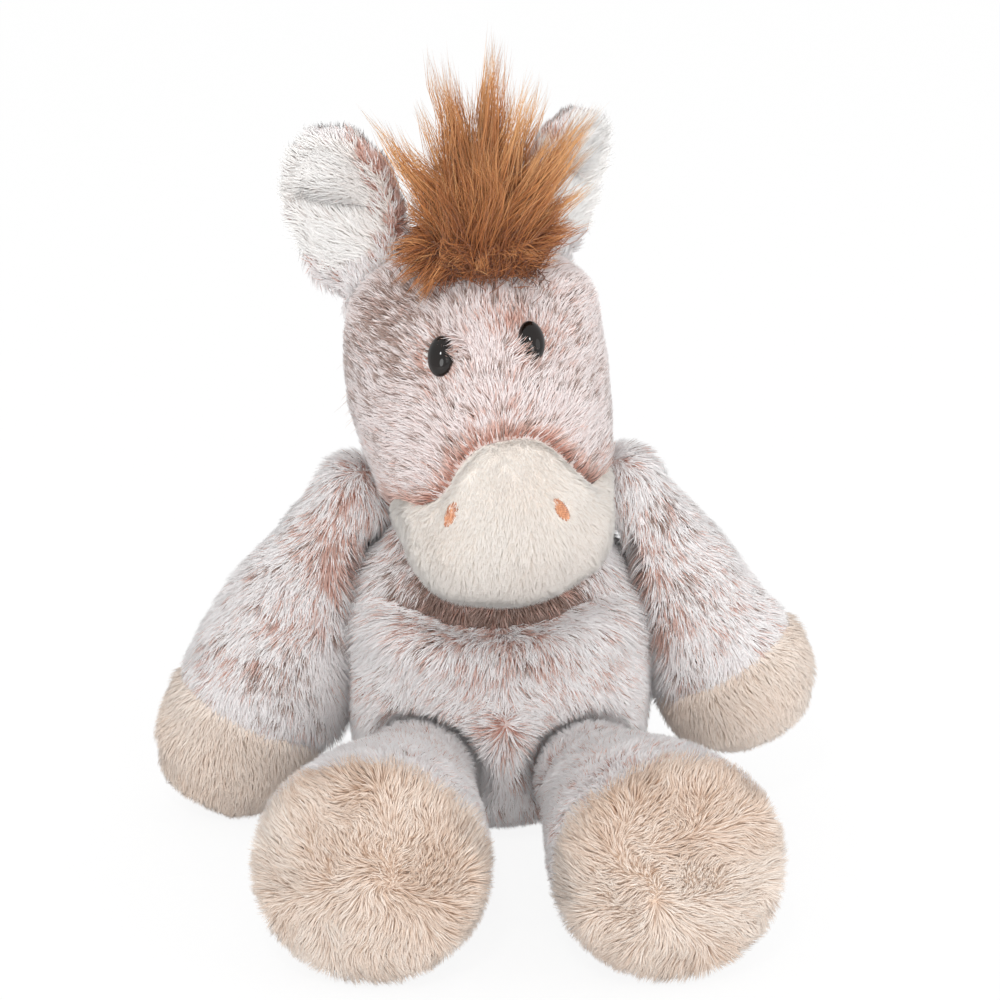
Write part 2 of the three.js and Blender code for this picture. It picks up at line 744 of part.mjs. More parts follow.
export default horse;
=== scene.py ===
import itertools
import json
import math

import bmesh
import bpy
import numpy as np
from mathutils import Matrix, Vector
from mathutils.bvhtree import BVHTree
from mathutils.kdtree import KDTree


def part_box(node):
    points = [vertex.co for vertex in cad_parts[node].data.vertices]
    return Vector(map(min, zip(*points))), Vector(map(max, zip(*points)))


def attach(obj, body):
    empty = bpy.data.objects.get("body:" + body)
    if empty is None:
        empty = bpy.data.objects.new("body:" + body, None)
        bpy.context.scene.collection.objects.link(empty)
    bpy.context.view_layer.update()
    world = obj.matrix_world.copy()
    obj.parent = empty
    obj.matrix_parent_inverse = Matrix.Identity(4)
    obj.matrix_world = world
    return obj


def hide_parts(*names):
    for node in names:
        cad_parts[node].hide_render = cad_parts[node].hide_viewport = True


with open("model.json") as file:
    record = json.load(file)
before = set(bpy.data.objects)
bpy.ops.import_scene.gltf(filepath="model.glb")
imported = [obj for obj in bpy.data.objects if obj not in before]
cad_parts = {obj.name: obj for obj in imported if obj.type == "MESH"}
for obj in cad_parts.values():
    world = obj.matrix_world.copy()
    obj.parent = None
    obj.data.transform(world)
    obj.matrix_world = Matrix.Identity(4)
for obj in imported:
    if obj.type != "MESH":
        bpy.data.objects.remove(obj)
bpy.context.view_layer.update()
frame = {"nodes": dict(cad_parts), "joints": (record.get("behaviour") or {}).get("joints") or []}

# General measures. A length is in metres where MM is named, and in millimetres in a table or as an argument
# of noise, bell, fade, remeshed, relax, lock_lines, waved and plant_hair. Colours are sRGB out of 255.

MM = 0.001
UV_NAME = "OFBake"
NOISE_TABLE = 16
NOISE_START = 50.0
SMOOTHING_PUSHES = (0.55, -0.58)
SIM_FRAMES = 20
SIM_PRESSURE = 4.0
PUFF = 1.5 * MM
SEAM_GAP = 0.2 * MM
# How near the neck a skin is stretched over its socket, and in how many rounds: first, and once it is puffed.
SOCKET_FILM = (4.5, 250)
SOCKET_FINISH = (9.0, 14)
FILLING_GAP = 3.0 * MM

STRAND_SIDES = 3
STRAND_TAPER = 3.0
STRAND_UV_WIDTH = 0.006
STRAND_FLOOR = 0.4 * MM
OWN_NORMAL_SHARE = 0.35
MOST_TRIANGLES = 190000
PILE_DENSITY = 2.8
PILE_LENGTH = 7.0 * MM
PILE_LEAN = math.radians(74.0)
LEAN_START = 0.45
PILE_WIDTH = 0.34 * MM
HEAD_PILE_WIDTH = 0.32 * MM
SHORT_PILE_WIDTH = 0.36 * MM
PILE_INSET = 3.2 * MM
CLUMP = 0.27
CLUMP_SIZE = 7
LUMPS = 1.1 * MM
LUMP_SIZE = 21.0


# Node tools

def linear(colour):
    """An sRGB colour as the linear one that a shader takes."""
    shares = np.array(colour, float) / 255.0
    low = shares / 12.92
    high = ((shares + 0.055) / 1.055) ** 2.4
    return tuple(np.where(shares <= 0.04045, low, high)) + (1.0,)


def add_node(tree, kind, **values):
    """A shader node with constants on the sockets that the values name, with _ for a space."""
    node = tree.nodes.new("ShaderNode" + kind)
    for name, value in values.items():
        node.inputs[name.replace("_", " ")].default_value = value
    return node


def new_material(name, **values):
    material = bpy.data.materials.new(name)
    material.use_nodes = True
    tree = material.node_tree
    tree.nodes.clear()
    output = add_node(tree, "OutputMaterial")
    shader = add_node(tree, "BsdfPrincipled", **values)
    tree.links.new(shader.outputs["BSDF"], output.inputs["Surface"])
    return material, tree, shader


def ramp(tree, factor, stops):
    node = add_node(tree, "ValToRGB")
    elements = node.color_ramp.elements
    while len(elements) < len(stops):
        elements.new(0.5)
    for element, (place, colour) in zip(elements, stops):
        element.position = place
        element.color = linear(colour)
    tree.links.new(factor, node.inputs["Fac"])
    return node.outputs["Color"]


def noise_factor(tree, scale, detail, stretch=(1.0, 1.0, 1.0), distortion=0.0):
    place = add_node(tree, "TexCoord")
    mapping = add_node(tree, "Mapping", Scale=stretch)
    node = add_node(tree, "TexNoise", Scale=scale, Detail=detail, Distortion=distortion)
    tree.links.new(place.outputs["Object"], mapping.inputs["Vector"])
    tree.links.new(mapping.outputs["Vector"], node.inputs["Vector"])
    return node.outputs["Fac"]


def grained(name, light, dark, grain, relief=0.0, stops=(0.3, 0.7), weave=None, strength=1.0, **values):
    """Two colours mixed by a grain of noise, with a relief of that grain or of a finer weave."""
    material, tree, shader = new_material(name, **values)
    height = noise_factor(tree, *grain)
    colour = ramp(tree, height, list(zip(stops, (dark, light))))
    tree.links.new(colour, shader.inputs["Base Color"])
    if relief:
        bump = add_node(tree, "Bump", Strength=strength, Distance=relief)
        tree.links.new(noise_factor(tree, *weave) if weave else height, bump.inputs["Height"])
        tree.links.new(bump.outputs["Normal"], shader.inputs["Normal"])
    return material


# Materials

def pile_material(name, colours, root_end, tip_start, roughness=0.75, sheen=0.25):
    """Fur whose colour reads each strand's tone across and its height up.

    Each row of colours is a tone, the colour of its tips and that of its roots. Tone 0 is the palest."""
    material, tree, shader = new_material(
        name, Roughness=roughness, Sheen_Weight=sheen, Sheen_Roughness=0.5, Specular_IOR_Level=0.2)
    place = add_node(tree, "UVMap")
    place.uv_map = UV_NAME
    parts = add_node(tree, "SeparateXYZ")
    # The darker root colours are partly the pile's own tipped colour and partly painted shade deep in the
    # pile.
    rise = add_node(tree, "MapRange", From_Min=root_end, From_Max=tip_start)
    rise.interpolation_type = "SMOOTHSTEP"
    blend = add_node(tree, "Mix")
    blend.data_type = "RGBA"
    tree.links.new(place.outputs["UV"], parts.inputs["Vector"])
    tree.links.new(parts.outputs["Y"], rise.inputs["Value"])
    tree.links.new(rise.outputs["Result"], blend.inputs["Factor"])
    for column, end in ((2, "A"), (1, "B")):
        stops = [(row[0], row[column]) for row in colours]
        tree.links.new(ramp(tree, parts.outputs["X"], stops), blend.inputs[end])
    tree.links.new(blend.outputs["Result"], shader.inputs["Base Color"])
    return material


def cloth_material(name, light, dark, scale=120.0, knit=2600.0):
    """The knitted backing between the strands."""
    return grained(name, light, dark, (scale, 5.0), 0.0004, (0.38, 0.62), (knit, 2.0),
                   Roughness=0.9, Sheen_Weight=0.2)


def fibre_material():
    grain = (160.0, 8.0, (1.0, 1.0, 4.0), 1.5)
    return grained("white_fibre", (246, 245, 242), (214, 212, 208), grain, 0.002, Roughness=0.95)


def plastic_material():
    return grained("washer_plastic", (240, 240, 238), (226, 226, 224), (900.0, 3.0), 0.00005, (0.35, 0.65),
                   strength=0.4, Roughness=0.4)


def eye_material():
    return grained("eye_gloss", (26, 19, 16), (10, 8, 7), (90.0, 2.0), stops=(0.3, 0.75),
                   Roughness=0.05, Specular_IOR_Level=0.35)


def thread_material(name, light, dark):
    grain = (1500.0, 2.0, (1.0, 1.0, 0.3))
    return grained(name, light, dark, grain, 0.0001, Roughness=0.45, Sheen_Weight=0.4)


# Each look is a material and its slot.

MOTTLED = (pile_material("mottled_pile", [
    (0.0, (255, 254, 254), (252, 247, 247)), (0.3, (240, 227, 225), (225, 205, 201)),
    (0.48, (234, 210, 203), (206, 166, 155)), (0.62, (221, 180, 167), (182, 125, 108)),
    (0.8, (188, 165, 156), (132, 105, 94)), (1.0, (136, 110, 99), (82, 58, 46))], 0.15, 0.8, 0.75, 0.5),
    "mottled_pile")
CREAM = (pile_material("cream_pile", [
    (0.0, (250, 245, 239), (244, 236, 227)), (1.0, (240, 229, 219), (226, 210, 197))], 0.1, 0.8),
    "cream_pile")
HOOF = (pile_material("hoof_pile", [
    (0.0, (253, 244, 235), (243, 229, 217)), (0.35, (242, 225, 211), (224, 200, 182)),
    (0.65, (222, 196, 176), (196, 162, 138)), (1.0, (188, 146, 114), (144, 102, 74))], 0.1, 0.7), "hoof_pile")
MANE = (pile_material("mane_pile", [
    (0.0, (232, 182, 128), (190, 122, 70)), (0.35, (202, 138, 84), (164, 98, 52)),
    (0.7, (160, 96, 54), (122, 68, 36)), (1.0, (106, 58, 34), (72, 36, 20))], 0.15, 0.9, 0.6, 0.15),
    "mane_pile")
LINING = (pile_material("lining_pile", [
    (0.0, (255, 254, 252), (246, 240, 236)), (0.5, (246, 240, 236), (228, 214, 206)),
    (1.0, (226, 200, 190), (190, 140, 120))], 0.1, 0.7), "cream_pile")
MOTTLED_CLOTH = (cloth_material("mottled_backing", (232, 218, 215), (214, 190, 183)), "mottled_pile")
CREAM_CLOTH = (cloth_material("cream_backing", (244, 238, 232), (232, 222, 214)), "cream_pile")
HOOF_CLOTH = (cloth_material("hoof_backing", (242, 224, 208), (230, 204, 182)), "hoof_pile")
MANE_CLOTH = (cloth_material("mane_backing", (150, 94, 54), (104, 60, 34), 200.0), "mane_pile")
BAG_CLOTH = (cloth_material("bag_cloth", (224, 222, 214), (204, 200, 190), 60.0, 1800.0), "bag_cloth")
FIBRE = (fibre_material(), "fibre_filling")
EYE_GLOSS = (eye_material(), "eye_gloss")
THREAD = (thread_material("copper_thread", (226, 164, 122), (160, 92, 56)), "satin_stitch")
# The padding is darker copper than the threads so that the gaps between stitches read dark: painted shade
# between the threads.
PADDING = (thread_material("copper_padding", (150, 88, 54), (110, 58, 32)), "satin_stitch")


# Mesh tools

def smoothstep(low, high, values):
    share = np.clip((values - low) / (high - low), 0.0, 1.0)
    return share * share * (3.0 - 2.0 * share)


def fade(low, high, values):
    """Goes smoothly from 0 at low to 1 at high."""
    return smoothstep(low * MM, high * MM, values)


def bell(values, width):
    """1 at 0, and near 0 from two widths on."""
    return np.exp(-(values / (width * MM)) ** 2)


def unit(vectors):
    return vectors / np.maximum(np.linalg.norm(vectors, axis=-1, keepdims=True), 1e-12)


def noise(points, size, seed):
    """Smooth noise from -1 to 1 with blobs about size wide."""
    table = np.random.default_rng(seed).uniform(-1.0, 1.0, (NOISE_TABLE,) * 3)
    place = points / (size * MM) + NOISE_START
    cell = np.floor(place).astype(int)
    part = place - cell
    ease = part * part * (3.0 - 2.0 * part)
    total = np.zeros(len(points))
    for corner in itertools.product((0, 1), repeat=3):
        index = (cell + corner) % NOISE_TABLE
        weight = np.prod(np.where(corner, ease, 1.0 - ease), axis=1)
        total += weight * table[index[:, 0], index[:, 1], index[:, 2]]
    return total


def patches(points, spots):
    """Soft round spots. Each has its place, radius and strength."""
    return sum(strength * bell(np.linalg.norm(points - np.array((x, y, z)) * MM, axis=1), radius)
               for x, y, z, radius, strength in spots)


def blotches(points, base, waves, spots):
    """A base, waves of noise with their strength, size and seed, and soft spots."""
    for strength, size, seed in waves:
        base = base + strength * noise(points, size, seed)
    return base + patches(points, spots)


def gap_to(points, middles):
    """Distance to the nearest of the middles."""
    return np.min([np.linalg.norm(points - middle, axis=1) for middle in middles], axis=0)


def search_tree(points):
    tree = KDTree(len(points))
    for index, point in enumerate(points):
        tree.insert(point, index)
    tree.balance()
    return tree


def link(obj):
    bpy.context.scene.collection.objects.link(obj)
    return obj


def triangle_object(name, verts, tris, uvs=None):
    mesh = bpy.data.meshes.new(name)
    mesh.vertices.add(len(verts))
    mesh.vertices.foreach_set("co", np.asarray(verts, np.float32).ravel())
    mesh.loops.add(tris.size)
    mesh.loops.foreach_set("vertex_index", np.asarray(tris, np.int32).ravel())
    mesh.polygons.add(len(tris))
    mesh.polygons.foreach_set("loop_start", np.arange(0, tris.size, 3, dtype=np.int32))
    mesh.polygons.foreach_set("use_smooth", np.ones(len(tris), bool))
    if uvs is not None:
        layer = mesh.uv_layers.new(name=UV_NAME)
        layer.uv.foreach_set("vector", np.asarray(uvs, np.float32).ravel())
    mesh.update(calc_edges=True)
    return link(bpy.data.objects.new(name, mesh))


def arrays(obj):
    mesh = obj.data
    mesh.calc_loop_triangles()
    verts = np.empty(len(mesh.vertices) * 3)
    mesh.vertices.foreach_get("co", verts)
    tris = np.empty(len(mesh.loop_triangles) * 3, np.int32)
    mesh.loop_triangles.foreach_get("vertices", tris)
    return verts.reshape(-1, 3), tris.reshape(-1, 3)


def points_of(node):
    return arrays(frame["nodes"][node])[0]


def vertex_normals(verts, tris):
    a, b, c = verts[tris[:, 0]], verts[tris[:, 1]], verts[tris[:, 2]]
    faces = np.cross(b - a, c - a)
    normals = np.zeros_like(verts)
    for column in range(3):
        np.add.at(normals, tris[:, column], faces)
    return unit(normals)


def set_points(obj, verts):
    obj.data.vertices.foreach_set("co", np.asarray(verts, np.float32).ravel())
    obj.data.update()


def apply_modifiers(obj):
    graph = bpy.context.evaluated_depsgraph_get()
    mesh = bpy.data.meshes.new_from_object(obj.evaluated_get(graph))
    old = obj.data
    obj.modifiers.clear()
    obj.data = mesh
    bpy.data.meshes.remove(old)


class Neighbours:
    """The edges of a mesh, for the mean place of each point's neighbours."""

    def __init__(self, tris, count):
        pairs = np.vstack([tris[:, [0, 1]], tris[:, [1, 2]], tris[:, [2, 0]]])
        self.pairs = np.unique(np.sort(pairs, axis=1), axis=0)
        self.degree = np.bincount(self.pairs.ravel(), minlength=count)[:, None]

    def mean(self, verts):
        total = np.zeros_like(verts)
        np.add.at(total, self.pairs[:, 0], verts[self.pairs[:, 1]])
        np.add.at(total, self.pairs[:, 1], verts[self.pairs[:, 0]])
        return total / self.degree


def remeshed(name, nodes, voxel, rounds):
    """One closed surface round the nodes' union, with their facets smoothed away."""
    parts = [arrays(frame["nodes"][node]) for node in nodes]
    starts = np.cumsum([0] + [len(verts) for verts, tris in parts])
    tris = np.vstack([tris + start for (verts, tris), start in zip(parts, starts)])
    obj = triangle_object(name, np.vstack([verts for verts, tris in parts]), tris)
    remesh = obj.modifiers.new("remesh", "REMESH")
    remesh.mode = "VOXEL"
    remesh.voxel_size = voxel * MM
    apply_modifiers(obj)
    verts, tris = arrays(obj)
    around = Neighbours(tris, len(verts))
    for push in SMOOTHING_PUSHES * rounds:
        verts = verts + push * (around.mean(verts) - verts)
    set_points(obj, verts)
    return obj


def relax(obj, node, reach, rounds):
    """Stretches the part of a skin that lies near a node, as a film over its rim."""
    verts, tris = arrays(obj)
    places, faces = arrays(frame["nodes"][node])
    tree = BVHTree.FromPolygons(places.tolist(), faces.tolist())
    loose = np.array([tree.find_nearest(vert, reach * MM)[0] is not None for vert in verts])
    around = Neighbours(tris, len(verts))
    for step in range(rounds):
        verts = np.where(loose[:, None], around.mean(verts), verts)
    set_points(obj, verts)


def inset(obj, depth):
    """Moves the surface inward by a depth, or by what the depth says of each point."""
    verts, tris = arrays(obj)
    depths = depth(verts) if callable(depth) else depth
    set_points(obj, verts - vertex_normals(verts, tris) * np.reshape(depths, (-1, 1)))


def puff(obj, pinned):
    """Blows the sewn skin up as its filling does. Pinned points stay where they are."""
    before, tris = arrays(obj)
    group = obj.vertex_groups.new(name="sewn")
    for index in np.nonzero(pinned(before))[0]:
        group.add([int(index)], 1.0, "REPLACE")
    cloth = obj.modifiers.new("cloth", "CLOTH")
    cloth.settings.use_pressure = True
    cloth.settings.uniform_pressure_force = SIM_PRESSURE
    cloth.settings.vertex_group_mass = "sewn"
    cloth.settings.effector_weights.gravity = 0.0
    cloth.point_cache.frame_start = 1
    cloth.point_cache.frame_end = SIM_FRAMES
    scene = bpy.context.scene
    for step in range(1, SIM_FRAMES + 1):
        scene.frame_set(step)
    graph = bpy.context.evaluated_depsgraph_get()
    blown = obj.evaluated_get(graph).to_mesh()
    after = np.empty(len(blown.vertices) * 3)
    blown.vertices.foreach_get("co", after)
    move = after.reshape(-1, 3) - before
    reach = np.linalg.norm(move, axis=1, keepdims=True)
    move *= np.minimum(1.0, PUFF / np.maximum(reach, 1e-9))
    obj.modifiers.clear()
    obj.vertex_groups.clear()
    set_points(obj, before + move)
    scene.frame_set(1)


def finer(obj):
    obj.modifiers.new("finer", "SUBSURF").levels = 1
    apply_modifiers(obj)


def cut(source, name, place, normal, keep_above):
    """A closed piece of source on one side of a seam plane."""
    side = 1.0 if keep_above else -1.0
    bm = bmesh.new()
    bm.from_mesh(source.data)
    bmesh.ops.bisect_plane(
        bm, geom=bm.verts[:] + bm.edges[:] + bm.faces[:], plane_no=Vector(normal),
        plane_co=Vector(place) + Vector(normal) * SEAM_GAP * side,
        clear_inner=keep_above, clear_outer=not keep_above)
    rim = [edge for edge in bm.edges if edge.is_boundary]
    filled = bmesh.ops.holes_fill(bm, edges=rim, sides=0)
    bmesh.ops.triangulate(bm, faces=filled["faces"])
    mesh = bpy.data.meshes.new(name)
    bm.to_mesh(mesh)
    bm.free()
    mesh.polygons.foreach_set("use_smooth", np.ones(len(mesh.polygons), bool))
    return link(bpy.data.objects.new(name, mesh))


def finish_piece(obj, body, look, *nodes):
    material, slot = look
    obj.data.materials.clear()
    obj.data.materials.append(material)
    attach(obj, body)
    if nodes:
        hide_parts(*nodes)


def stuff(skin, name, body, node):
    """The fibre filling, just inside its skin."""
    obj = skin.copy()
    obj.data = skin.data.copy()
    obj.name = name
    link(obj)
    inset(obj, FILLING_GAP)
    inset(obj, lambda points: np.abs(noise(points, 9, 71) * 0.8 * MM))
    finish_piece(obj, body, FIBRE, node)


def capped(rings, start, end):
    """A closed surface through rings of points, with a point amid each end."""
    count, around = rings.shape[:2]
    first, last = count * around, count * around + 1
    tris = []
    for step in range(around):
        after = (step + 1) % around
        tris.append((first, after, step))
        tris.append((last, first - around + step, first - around + after))
        for low in range(0, first - around, around):
            tris.append((low + step, low + after, low + around + after))
            tris.append((low + step, low + around + after, low + around + step))
    return np.vstack([rings.reshape(-1, 3), start, end]), np.array(tris)


def dome(name, middle, tall, normal, half, rings, around):
    """An oval with its poles on the normal."""
    wide = np.cross(normal, tall)
    fall = (math.pi * np.arange(1, rings) / rings)[:, None, None]
    turn = (2.0 * math.pi * np.arange(around) / around)[None, :, None]
    flat = wide * np.cos(turn) * half[0] + tall * np.sin(turn) * half[1]
    points = middle + normal * np.cos(fall) * half[2] + flat * np.sin(fall)
    pole = normal * half[2]
    return triangle_object(name, *capped(points, middle + pole, middle - pole))


def tubes(name, lines, radius, around):
    """Closed round threads along lines of points."""
    verts, tris = [], []
    turn = (2.0 * math.pi * np.arange(around) / around)[None, :, None]
    for line in lines:
        steps = unit(np.gradient(line, axis=0))
        side = unit(np.cross(steps, steps[len(steps) // 2] + np.array([0.3, 0.5, 0.8])))[:, None]
        up = np.cross(steps, side[:, 0])[:, None]
        rings = line[:, None] + radius * (side * np.cos(turn) + up * np.sin(turn))
        points, faces = capped(rings, line[0], line[-1])
        tris.append(faces + len(points) * len(verts))
        verts.append(points)
    return triangle_object(name, np.vstack(verts), np.vstack(tris))


# Fur

class Coat:
    """Strands scattered over a skin: their roots, the normals there and their random draws."""

    def __init__(self, skin, density, seed, keep=None):
        rng = np.random.default_rng(seed)
        verts, tris = arrays(skin)
        normals = vertex_normals(verts, tris)
        corners = verts[tris]
        across = np.cross(corners[:, 1] - corners[:, 0], corners[:, 2] - corners[:, 0])
        areas = np.linalg.norm(across, axis=1) / 2.0
        total = areas.sum()
        count = int(total * density / MM ** 2)
        spread = (np.arange(count) + rng.random(count)) / count * total
        faces = np.minimum(np.searchsorted(np.cumsum(areas), spread), len(tris) - 1)
        first, second = rng.random(count), rng.random(count)
        over = first + second > 1.0
        first[over], second[over] = 1.0 - first[over], 1.0 - second[over]
        shares = np.stack([1.0 - first - second, first, second], axis=1)[:, :, None]
        roots = (corners[faces] * shares).sum(axis=1)
        ups = unit((normals[tris[faces]] * shares).sum(axis=1))
        if keep is not None:
            stays = keep(roots, rng.random(count))
            roots, ups = roots[stays], ups[stays]
        self.roots, self.ups, self.rng = roots, ups, rng
        self.count = len(roots)

    def plant(self, prefix, points, tone, body, look, chosen=slice(None), ups=None, width=PILE_WIDTH,
              nodes=()):
        """Makes the chosen strands, lit as the skin under them or as the ups say."""
        ups = self.ups if ups is None else ups
        plant(prefix, points[chosen], tone[chosen], width, body, look, self.rng, ups[chosen], nodes=nodes)


def comb(coat, flow, length, lean=PILE_LEAN, segments=2, clump=CLUMP, per_clump=CLUMP_SIZE, drift=0.5):
    """Points up each strand. It leaves the skin upright and bends over into the flow."""
    count, rng, ups = coat.count, coat.rng, coat.ups
    flow = unit(flow - ups * (flow * ups).sum(axis=1, keepdims=True))
    wander = noise(coat.roots, 12, 5) + 0.7 * noise(coat.roots, 5, 6)
    turn = (drift * wander + rng.normal(0.0, 0.3, count))[:, None]
    flow = flow * np.cos(turn) + np.cross(ups, flow) * np.sin(turn)
    length = np.broadcast_to(length, count) * rng.uniform(0.8, 1.12, count)
    lean = np.broadcast_to(lean, count)
    points = [coat.roots]
    for step in range(segments):
        share = (step + 0.5) / segments
        angle = (lean * (LEAN_START + (1.0 - LEAN_START) * share))[:, None]
        heading = ups * np.cos(angle) + flow * np.sin(angle)
        points.append(points[-1] + heading * (length / segments)[:, None])
    points = np.stack(points, axis=1)
    guides = rng.permutation(count)[:max(1, count // per_clump)]
    tree = search_tree(coat.roots[guides])
    coat.leaders = guides[np.array([tree.find(root)[1] for root in coat.roots])]
    rise = (np.arange(segments + 1) / segments) ** 1.2
    pull = (clump * rng.uniform(0.6, 1.1, count))[:, None] * rise
    return points + (points[coat.leaders] - points) * pull[:, :, None]


def strands(name, points, ups, width, tone, rng):
    """Closed three-sided spikes along the points, with their tone and height as UVs."""
    count, rings = points.shape[:2]
    segments = rings - 1
    steps = np.gradient(points, axis=1)
    reference = unit(rng.normal(size=(count, 3)))
    side = unit(np.cross(steps, reference[:, None, :]))
    rise = unit(np.cross(steps, side))
    radius = width * 0.5 * (1.0 - (np.arange(rings) / segments) ** STRAND_TAPER)
    rounds = (np.arange(STRAND_SIDES) * (2.0 * math.pi / STRAND_SIDES))[:, None]
    turn = side[:, :, None, :] * np.cos(rounds) + rise[:, :, None, :] * np.sin(rounds)
    ring_points = points[:, :, None, :] + turn * radius[:, None, None]
    verts = np.concatenate([ring_points[:, :segments].reshape(count, -1, 3), points[:, segments:]], axis=1)
    per_strand = verts.shape[1]
    spread = STRAND_UV_WIDTH
    faces = [(0, 2, 1)]
    places = [((0.0, 0.0), (2.0 * spread, 0.0), (spread, 0.01))]
    for ring, column in itertools.product(range(segments), range(STRAND_SIDES)):
        low, high = ring / segments, (ring + 1) / segments
        left, right = column * spread, (column + 1) * spread
        a, b = ring * STRAND_SIDES + column, ring * STRAND_SIDES + (column + 1) % STRAND_SIDES
        if ring == segments - 1:
            faces.append((a, b, per_strand - 1))
            places.append(((left, low), (right, low), ((left + right) / 2.0, 1.0)))
        else:
            faces += [(a, b, b + STRAND_SIDES), (a, b + STRAND_SIDES, a + STRAND_SIDES)]
            places += [((left, low), (right, low), (right, high)), ((left, low), (right, high), (left, high))]
    tris = (np.array(faces, np.int32) + (np.arange(count) * per_strand)[:, None, None]).reshape(-1, 3)
    uvs = np.tile(np.array(places), (count, 1, 1, 1))
    uvs[..., 0] += np.clip(tone, 0.0, 1.0 - STRAND_SIDES * spread)[:, None, None]
    obj = triangle_object(name, verts.reshape(-1, 3), tris, uvs)
    if ups is not None:
        outward = turn[:, :segments].reshape(count, -1, 3)
        own = np.concatenate([outward, ups[:, None]], axis=1)
        shade = unit(own * OWN_NORMAL_SHARE + ups[:, None] * (1.0 - OWN_NORMAL_SHARE))
        obj.data.normals_split_custom_set_from_vertices(shade.reshape(-1, 3))
    return obj


def plant(prefix, points, tone, width, body, look, rng, ups=None, axis=2, nodes=()):
    """Makes the strands as pieces of no more than a set size, cut apart along an axis."""
    points[..., 2] = np.maximum(points[..., 2], STRAND_FLOOR)
    per_strand = 2 * STRAND_SIDES * (points.shape[1] - 1) - 2
    pieces = max(1, math.ceil(len(points) * per_strand / MOST_TRIANGLES))
    order = np.argsort(points[:, 0, axis], kind="stable")
    for piece, chosen in enumerate(np.array_split(order, pieces)):
        name = prefix if pieces == 1 else f"{prefix}_{piece + 1}"
        fur = strands(name, points[chosen], None if ups is None else ups[chosen], width, tone[chosen], rng)
        finish_piece(fur, body, look, *(nodes if piece == 0 else ()))


def speckled(coat, rust, grey, pale=0.07):
    """Tones of a frosted pile: pale tips, with rust and grey-brown locks among them."""
    rng, count = coat.rng, coat.count
    single = rng.random(count)
    lock = rng.random(count)[coat.leaders]
    draw = np.where(rng.random(count) < 0.65, lock, single)
    tone = np.clip(pale + rng.normal(0.0, 0.07, count), 0.0, 0.4)
    tone = np.where(draw < rust, 0.57 + 0.1 * np.clip(rust, 0.0, 1.0) + rng.normal(0.0, 0.05, count), tone)
    return np.where(draw > 1.0 - grey, rng.normal(0.86, 0.06, count), tone)


# Where things are

ORIGIN = {joint["child"]: np.array(joint["pos_m"], float) for joint in frame["joints"]}
DOWN = np.array([0.0, 0.0, -1.0])
UP = np.array([0.0, 0.0, 1.0])
HEAD_ROLL = math.radians(-7.4)
HEAD_YAW = math.radians(9.0)
HEAD_PITCH = math.radians(51.0)
SKULL_CENTRE = np.array([0.0, -25.0, 40.0]) * MM
MUZZLE_SEAM = 40.0 * MM
BODY_MIDDLE = 4.5 * MM


def turned(vector):
    """A direction in the head's own frame, as it lies in the shared frame."""
    x, y, z = vector
    cos, sin = math.cos(HEAD_ROLL), math.sin(HEAD_ROLL)
    x, z = x * cos + z * sin, z * cos - x * sin
    cos, sin = math.cos(HEAD_YAW), math.sin(HEAD_YAW)
    return np.array([x * cos - y * sin, x * sin + y * cos, z])


HEAD_AXIS = turned((0.0, -math.cos(HEAD_PITCH), -math.sin(HEAD_PITCH)))
HEAD_ACROSS = turned((1.0, 0.0, 0.0))
HEAD_BRIDGE = turned((0.0, -math.sin(HEAD_PITCH), math.cos(HEAD_PITCH)))
SKULL = ORIGIN["head"] + turned(SKULL_CENTRE)


# Torso and neck

TORSO_WHORL = (7, -3, 43)
# The three spots at a height of 94, on the chest under the chin, are partly the chest's own rust and partly
# painted shade under the chin.
TORSO_RUST = [
    (*TORSO_WHORL, 7, 0.75), (-2, -5, 56, 6, 0.25), (28, -5, 70, 9, 0.3), (-25, 0, 60, 6, 0.2),
    # The spot at (4, 0, 20), of negative strength, is painted light: it pales the pile low on the belly
    # between the legs, where the legs shade it.
    (4, 0, 20, 12, -0.2), (36, -3, 49, 8, 0.5), (44, 5, 60, 8, 0.45), (3, 0, 94, 18, 0.7),
    (-24, 4, 94, 14, 0.5), (28, 4, 94, 14, 0.5)]
TORSO_GREY = [(34, -3, 46, 7, 0.4), (-28, 2, 78, 7, 0.35), (42, 4, 54, 6, 0.2), (-30, 6, 70, 7, 0.1)]
FOLD_LOW = 80.0 * MM
FOLD_LIFT = 7.0 * MM
FOLD_HALF = 37.0 * MM
FOLD_MIDDLE = 1.0 * MM


def above_fold(points):
    """Height above the line of the fold under the chin."""
    return points[:, 2] - (FOLD_LOW + FOLD_LIFT * ((points[:, 0] - FOLD_MIDDLE) / FOLD_HALF) ** 2)


def in_front(points):
    return fade(34, 14, points[:, 1])


def fold_depth(points):
    """A groove along the fold, a flatter chest above it and a ridge below."""
    rise = above_fold(points)
    groove = 5.5 * MM * bell(rise, 4)
    chest = 3.0 * MM * fade(0, 10, rise)
    ridge = 2.8 * MM * bell(rise + 11.0 * MM, 7)
    return (groove + chest - ridge) * in_front(points)


